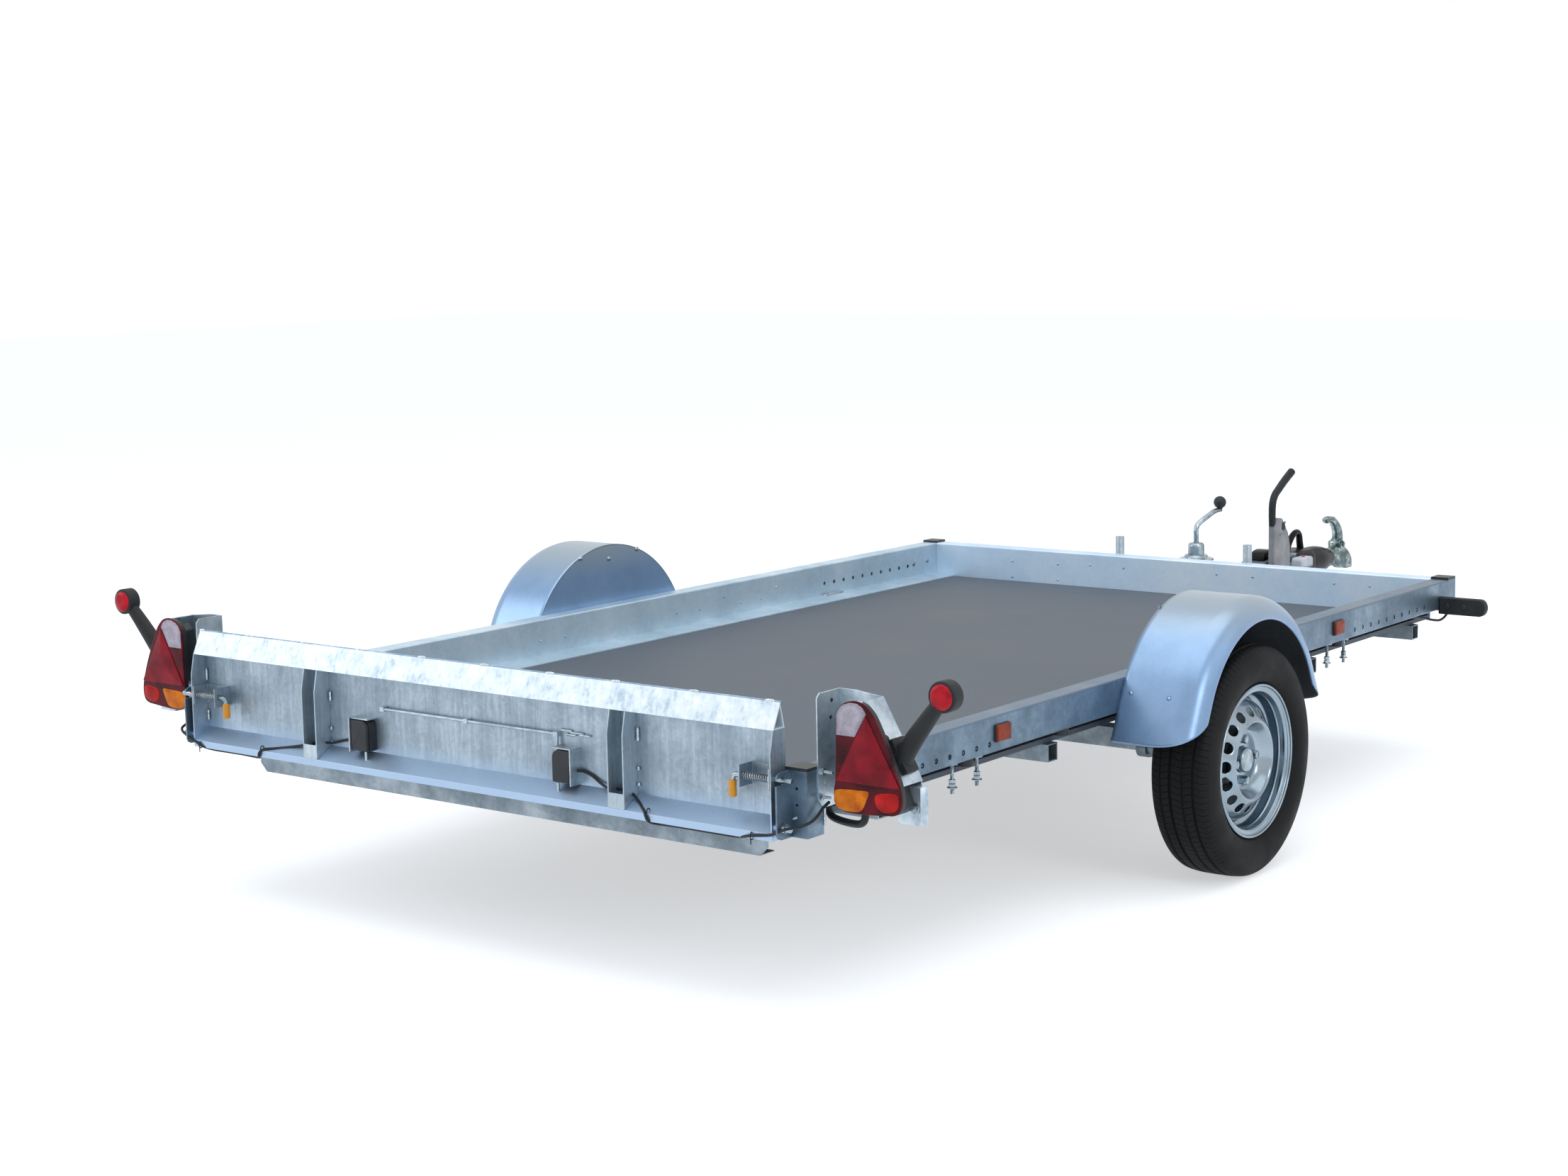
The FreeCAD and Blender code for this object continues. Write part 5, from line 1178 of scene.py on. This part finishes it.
def makeJockey():
    # turned tubes, collar and cap; a flat fork; a tyre whose tread is crowned by a superellipse
    size = jockeySize
    axis = at(size["x"], size["station"], 0)
    tube = [(215, 20), (215.5, 24.4), (217, 25), (430, 25), (430.5, 25.6), (494, 25.6), (499, 25),
            (502.6, 23), (504.6, 19.6), (505.3, 15), (505.4, 9.6), (498, 9.2), (497, 0)]
    collar = [(449, 26), (449.4, 54.5), (450.4, 55.8), (453, 56), (455.2, 54.8), (455.8, 52), (456.2, 42),
              (458, 39), (464, 37), (467, 34), (468, 26)]
    stem = [(194, 19), (196, 20), (216, 20)]
    forms = ((tube, 48), (collar, 72), (stem, 36))
    shells = [turned(axis, (0, 0, 1), form, sides) for form, sides in forms]
    top = rounded([(-34, -24), (34, -24), (34, 24), (-34, 24)], 5)
    place = facing("+z", axis)
    shells.append(slab(top, *size["fork"], 1.2, place))
    cheek = rounded([(-17, 79), (17, 79), (17, 198), (-17, 198)], (16, 16, 2, 2), 8)
    for x in size["cheeks"]:
        shells.append(slab(cheek, x, x + size["cheekSheet"], 1, facing("+x", axis)))
    wheelAxis = axis + [0, 0, size["wheel"] * mm]
    spindle = [(-38, 0), (-38, 9), (-34, 10), (34, 10), (38, 9), (38, 0)]
    shells.append(turned(wheelAxis, (1, 0, 0), spindle, 24))
    makePiece("jockeyLeg", "drawbar", platedSteel, shells, replaces=("jockey_leg",))
    a = np.linspace(-1, 1, 25)
    reach = size["wide"] * np.sign(a) * (1 - (1 - abs(a)) ** 1.6)
    swell = size["wheel"] - 9 * abs(reach / size["wide"]) ** 3.2
    tyre = [(-25, 58), (-25.5, 70), *zip(reach, swell), (25.5, 70), (25, 58)]
    makePiece("jockeyTyre", "drawbar", blackRubber, [turned(wheelAxis, (1, 0, 0), tyre, 72)],
              replaces=("jockey_wheel",))
    hub = [(-27, 0), (-27, 14), (-26, 16), (-15, 18), (-14, 52), (-22, 57), (-23, 61), (23, 61), (22, 57),
           (14, 52), (15, 18), (26, 16), (27, 14), (27, 0)]
    makePiece("jockeyHub", "drawbar", blackPlastic, [turned(wheelAxis, (1, 0, 0), hub, 60)])
    crank = line([(-85, 3417, 497), (-85, 3417, 524), (-85, 3416, 543), (-83, 3422, 560), (-77, 3440, 573),
                  (-70, 3464, 585), (-64, 3489, 596), (-60, 3507, 600), (-57, 3528, 600)])
    path = smooth(crank, 8)
    thick = 8.2 - 1.6 * np.clip(np.linspace(0, 6, len(path)) - 4.8, 0, 1)
    arm = swept(path, thick, (1, 0, 0), 20)
    makePiece("jockeyCrank", "crank", platedSteel, [arm], replaces=("jockey_crank",))
    ball = [(20 - 20 * math.cos(b), 20 * math.sin(b)) for b in np.linspace(0.42, math.pi, 22)]
    knob = turned(at(-57, 3522, 604.9), (0, 0, 1), [(0, 9), (1, 9.4)] + ball[:-1] + [(40, 0)], 40)
    makePiece("jockeyKnob", "crank", blackPlastic, [knob], replaces=("jockey_knob",))


makeJockey()

bootSize = {"dome": ((3866, 50, 424), (3872, 55, 428), (3884, 57, 430), (3910, 58, 431), (3950, 58, 432),
                     (3976, 57, 431.6), (3988, 54, 430), (3995, 49, 426), (3997, 44, 421)), "rear": 3985,
            "front": 4190, "height": 376, "radius": 50, "folds": 7, "wave": 0.08, "taper": 0.48,
            "taperFrom": 0.35, "roundness": 0.55}


def makeBoot():
    # bellows: radius = R * (1 - taper * q squared) - a wave for every fold, q growing from a third of
    # the length on, and both ends drawn in a little; behind
    # it a cover of the same rubber sits over the housing's front end, each section a rounded
    # square: x = w cos^roundness, z = middle + half sin^roundness
    size = bootSize
    part = np.linspace(0, 1, 109)
    q = np.clip((part - size["taperFrom"]) / (1 - size["taperFrom"]), 0, 1)
    radius = size["radius"] * (1 - size["taper"] * q ** 2) - 0.6
    radius = radius - size["wave"] * (1 - np.cos(2 * math.pi * size["folds"] * part)) / 2
    radius = radius - 5 * np.exp(-part / 0.02)
    length = (size["front"] - size["rear"]) * part
    profile = [(0, 30), *zip(length, radius), (length[-1], 25.6)]
    start = at(0, size["rear"], size["height"])
    boot = makePiece("bellowsBoot", "drawbar", bootRubber, [turned(start, (0, 1, 0), profile, 56)],
                     replaces=("boot",))
    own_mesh(boot)
    station, wide, top = smooth(size["dome"], 6).T
    turn = unitRing(64)
    square = np.sign(turn) * abs(turn) ** size["roundness"]
    low = size["height"] - size["radius"]
    middle, half = (top + low) / 2, (top - low) / 2
    rings = line([np.column_stack([w * square[:, 0], s + 0 * square[:, 0], m + h * square[:, 1]])
                  for s, w, m, h in zip(station, wide, middle, half)])
    makePiece("bootCover", "drawbar", bootRubber, [rings])


makeBoot()


couplingSize = {"ballStation": 4295, "ballHeight": 345, "ball": 25.3, "cup": 29.5, "pinStation": 4262,
                "pinHeight": 414}
couplingLine = [(4184, 14, 388, 362), (4187, 21, 396, 355), (4196, 25, 401, 350), (4215, 27, 405, 344),
                (4240, 30, 409, 336),
            (4262, 34, 409, 331.5), (4285, 37, 403, 331.5), (4304, 37, 391, 331.5), (4319, 31, 376, 332),
            (4328, 21, 362, 334), (4332.5, 9, 350, 338)]


def makeCoupling():
    # the sliding shaft; a pressed head open below, whose section at each station is half a
    # superellipse, x = w cos^(2/3), z = low + (top - low) sin^(2/3); the ball cup; two lugs
    size = couplingSize
    rod = [(0, 22), (1, 24), (3, 25), (305, 25), (318, 24), (324, 20)]
    shaft = turned(at(0, 3880, 376), (0, 1, 0), rod, 48)
    station, wide, top, low = smooth(couplingLine, 6).T
    a = np.linspace(0, math.pi, 49)
    x = wide[:, None] * np.sign(np.cos(a)) * abs(np.cos(a)) ** (2 / 3)
    z = low[:, None] + (top - low)[:, None] * np.sin(a) ** (2 / 3)
    swell = 2.2 * np.exp(-((station[:, None] - 4285) / 14) ** 2) * np.sin(a) ** 2
    grid = np.stack([x, station[:, None] - originStation + 0 * x, np.minimum(z + swell, 412)], -1) * mm
    heart = at(0, size["pinStation"], size["ballHeight"] + 5)
    makeSheet("couplingHead", "coupling", [castZinc], [grid], heart, 4)
    b = np.linspace(-0.55, math.pi / 2, 20)
    arc = np.column_stack([np.sin(b), np.cos(b)])
    walls = np.vstack([size["ball"] * arc, size["cup"] * arc[::-1]])
    cup = turned(at(0, size["ballStation"], size["ballHeight"]), (0, 0, 1), walls, 48)
    lug = rounded([(4246, 388), (4278, 388), (4275, 424), (4251, 424)], (3, 3, 11, 11), 8)
    place = facing("+x", at(0, 0, 0))
    lugs = [slab(lug, low, low + 5, 1.2, place) for low in (20, -25)]
    pin = turned(at(0, size["pinStation"], size["pinHeight"]), (1, 0, 0),
                 [(-29, 0), (-29, 6), (-28, 8), (-25, 8.4), (-25, 5), (25, 5), (25, 8.4), (28, 8), (29, 6),
                  (29, 0)], 28)
    makePiece("couplingShaft", "coupling", castZinc, [shaft, (cup, True), *lugs, pin],
              replaces=("coupling",))


makeCoupling()


def makeCouplingHandle():
    # a forged lever: an oval carried along a curled line, broad at its root, fuller in the middle
    # and closed to a round end
    path = smooth(line([(0, 4262, 408), (0, 4268, 432), (0, 4264, 456), (0, 4250, 478), (0, 4228, 495),
                        (0, 4204, 503), (0, 4184, 503), (0, 4170, 500)]), 8)
    share = np.linspace(0, 1, len(path))
    wide = np.interp(share, [0, 0.2, 0.45, 0.7, 0.9, 1], [18.5, 18.5, 17, 15, 14, 13.5])
    flat = np.interp(share, [0, 0.2, 0.45, 0.7, 0.9, 1], [1.05, 1.0, 0.82, 0.78, 0.86, 0.86])
    close = np.sqrt(np.clip(1 - np.clip((share - 0.91) / 0.09, 0, 1) ** 2, 0.02, 1))
    body = swept(path, wide * close, (1, 0, 0), 32, squash=flat)
    ridge = line([(0, 4281, 430), (0, 4282, 448), (0, 4273, 470), (0, 4256, 489), (0, 4236, 504)])
    rib = swept(smooth(ridge, 8), 6, (1, 0, 0), 16)
    boss = turned(at(0, couplingSize["pinStation"], couplingSize["pinHeight"]), (1, 0, 0),
                  [(-19.5, 0), (-19.5, 13), (-18, 16.5), (-14, 18), (14, 18), (18, 16.5), (19.5, 13),
                   (19.5, 0)], 40)
    makePiece("couplingHandle", "release_handle", castZinc, [body, rib, boss],
              replaces=("coupling_handle",))


makeCouplingHandle()

leverSize = {"inner": 58, "width": 22, "grip": 12.6}


def makeBrakeLever():
    # a folded plate with a rounded head, a recess with its pin, the recess painted in as a thin dark sheet
    # of shade, and a rubber grip carried along the lever's bend with a flat cut end
    size = leverSize
    loop = rounded([(3634, 548), (3634, 384), (3660, 359), (3722, 359), (3748, 386), (3747, 470),
                    (3733, 512), (3706, 545), (3690, 564), (3656, 568)],
                   (6, 16, 14, 14, 16, 20, 20, 24, 12, 8), 8)
    place = facing("+x", at(size["inner"], 0, 0))
    plate = slab(loop, 0, size["width"], 3.5, place)
    step = swept(line([(81, 3672, 512), (81, 3690, 512)]), 2.0, (1, 0, 0), 10)
    makePiece("brakeLeverPlate", "hand_brake", leverPaint, [plate, step],
              replaces=("brake_lever",))
    # painted shade: the recess is a thin dark sheet on the plate's face
    recess = rounded([(3683, 528), (3701, 522), (3712, 533), (3704, 550), (3688, 552)], 5)
    paintedShade = slab(recess, size["width"] - 1, size["width"] + 0.4, 0.3, place)
    makePiece("brakeLeverRecessShade", "hand_brake", blackRubber, [paintedShade])
    stud = turned(at(80.2, 3706, 549), (1, 0, 0), [(0, 4.6), (1.2, 4.4), (2, 3), (2.2, 0)], 20)
    makePiece("brakeLeverStud", "hand_brake", leverPaint, [stud])
    route = smooth(line([(69, 3640, 543), (69, 3638, 580), (69, 3641, 616), (69, 3656, 641),
                         (69, 3684, 659), (69, 3724, 682), (69, 3774, 707)]), 8)
    share = np.linspace(0, 1, len(route))
    thick = size["grip"] - 1.6 * (1 - share) + 0.15 * np.sin(share * 60) * (share > 0.35)
    grip = swept(route, thick, (1, 0, 0), 28)
    makePiece("brakeGrip", "hand_brake", blackRubber, [grip], replaces=("brake_grip",))


makeBrakeLever()


fittingSize = {"hoodHalf": 30, "hoodEdge": 9, "plug": (54, 94), "shelf": (41, 56),
               "button": (78, 3846, 418)}


def makeBrakeFittings():
    # the cable's hood and thick loop over the housing, and the pale plug in its holder
    hood = smooth([(3664, 427), (3668, 437), (3684, 449), (3712, 455), (3744, 452), (3752, 446),
                   (3752, 427)], 5)
    place = facing("+x", at(0, 0, 0))
    size = fittingSize
    cover = slab(hood, -size["hoodHalf"], size["hoodHalf"], size["hoodEdge"], place, steps=6)
    loop = smooth(line([(0, 3880, 426), (0, 3894, 450), (0, 3915, 470), (0, 3940, 484), (0, 3960, 485),
                        (0, 3973, 474), (0, 3978, 452), (0, 3986, 420)]), 8)
    thick = np.interp(np.linspace(0, 1, len(loop)), [0, 0.5, 1], [12.5, 9.4, 12])
    tube = swept(loop, thick, (1, 0, 0), 22)
    makePiece("brakeCableLoop", "drawbar", bootRubber, [cover, tube],
              replaces=("brake_cable",))
    block = rounded([(3806, 386), (3889, 386), (3889, 420), (3806, 420)], (4, 4, 12, 12), 8)
    plug = slab(block, *size["plug"], 5, place, steps=6)
    shelf = slab(rounded([(3820, 392), (3870, 392), (3870, 400), (3820, 400)], 1), *size["shelf"], 0.5,
                 place)
    makePiece("cablePlug", "drawbar", palePlastic, [plug, shelf],
              replaces=("plug_holder",))
    button = turned(at(*size["button"]), (0, 0, 1), [(0, 6), (4, 6), (6, 4.6), (6.6, 0)], 24)
    makePiece("plugButton", "drawbar", redVinyl, [button])


makeBrakeFittings()
print("drawbar made")

# the floor, the lights and the camera

studio = {"floorHalf": 30, "floorGlow": 0.52, "roomLight": 0.7}
# each lamp: where it hangs, what it faces, its width and its power
softboxes = {"topSoftbox": ((0.5, -1.0, 6.0), (0, 0, 0), 7.0, 170),
             "leftSoftbox": ((-5.5, -5.0, 3.6), (0, 0, 0.4), 4.0, 90),
             "rightSoftbox": ((6.5, 1.5, 3.0), (0, 0, 0.4), 4.0, 16),
             "nearSoftbox": ((7.2, -2.9, 3.6), (1.0, -0.6, 0.5), 2.2, 72)}


def seenByEye(tree):
    # one where the camera sees a surface, straight, mirrored or through glass, else nought
    ray = addNode(tree, "LightPath")
    seen = ray.outputs["Is Camera Ray"]
    for kind in ("Is Glossy Ray", "Is Transmission Ray"):
        seen = addNode(tree, "Math", {0: seen, 1: ray.outputs[kind]}, operation="MAXIMUM").outputs[0]
    return seen


def standing(u, v, w, spot):
    # the matrix of an object at a spot whose own axes are u, v and w
    return Matrix([[u[i], v[i], w[i], spot[i]] for i in range(3)] + [[0, 0, 0, 1]])


def makeStudio():
    # a wide plain floor, and soft lamps above and beside the trailer
    half, white = studio["floorHalf"], linear("#FFFFFF")
    mesh = bpy.data.meshes.new("studioFloor")
    corners = [(-half, -half, 0), (half, -half, 0), (half, half, 0), (-half, half, 0)]
    mesh.from_pydata(corners, [], [(0, 1, 2, 3)])
    floor = bpy.data.objects.new("studioFloor", mesh)
    bpy.context.scene.collection.objects.link(floor)
    material = bpy.data.materials.new("paleFloor")
    material.use_nodes = True
    tree = material.node_tree
    tree.nodes.clear()
    cloud = addNode(tree, "TexNoise", {"Scale": 0.6, "Detail": 2.0})
    tone = ramp(tree, cloud.outputs["Fac"], (0.3, "#E4E6E8"), (0.7, "#EAECEE"))
    paint = addNode(tree, "BsdfDiffuse", {"Color": tone})
    glow = addNode(tree, "Emission", {"Color": white, "Strength": studio["floorGlow"]})
    none = addNode(tree, "Emission", {"Strength": 0.0})
    lift = addNode(tree, "MixShader", {0: seenByEye(tree), 1: none.outputs[0], 2: glow.outputs[0]})
    both = addNode(tree, "AddShader", {0: paint.outputs[0], 1: lift.outputs[0]})
    addNode(tree, "OutputMaterial", {"Surface": both.outputs[0]})
    mesh.materials.append(material)
    world = bpy.data.worlds.new("studioWorld")
    bpy.context.scene.world = world
    world.use_nodes = True
    tree = world.node_tree
    tree.nodes.clear()
    room = addNode(tree, "Background", {"Color": linear("#E6EEF6"), "Strength": studio["roomLight"]})
    plain = addNode(tree, "Background", {"Color": white, "Strength": 1.0})
    mixed = addNode(tree, "MixShader", {0: seenByEye(tree), 1: room.outputs[0], 2: plain.outputs[0]})
    addNode(tree, "OutputWorld", {"Surface": mixed.outputs[0]})
    for name, (spot, aim, size, power) in softboxes.items():
        lamp = bpy.data.lights.new(name, "AREA")
        lamp.shape, lamp.size, lamp.energy = "SQUARE", size, power
        holder = bpy.data.objects.new(name, lamp)
        holder.matrix_world = standing(*axesOf(np.array(spot) - aim), spot)
        bpy.context.scene.collection.objects.link(holder)


cameraView = {"spot": (3.7626, -5.9034, 1.5255), "right": (0.7941, 0.6075, -0.0185),
              "back": (0.6036, -0.7847, 0.1410), "lens": 58.315}


def makeCamera():
    # the photograph's own view, solved from the deck's straight edges
    data = bpy.data.cameras.new("photoCamera")
    data.lens = cameraView["lens"]
    data.sensor_width = 36
    data.sensor_fit = "HORIZONTAL"
    data.clip_end = 200
    camera = bpy.data.objects.new("photoCamera", data)
    back = unit(np.array(cameraView["back"]))
    right = np.array(cameraView["right"])
    right = unit(right - (right @ back) * back)
    camera.matrix_world = standing(right, np.cross(back, right), back, cameraView["spot"])
    bpy.context.scene.collection.objects.link(camera)
    bpy.context.scene.camera = camera


makeStudio()
makeCamera()
bpy.context.scene.view_settings.view_transform = "Standard"
print("studio made")
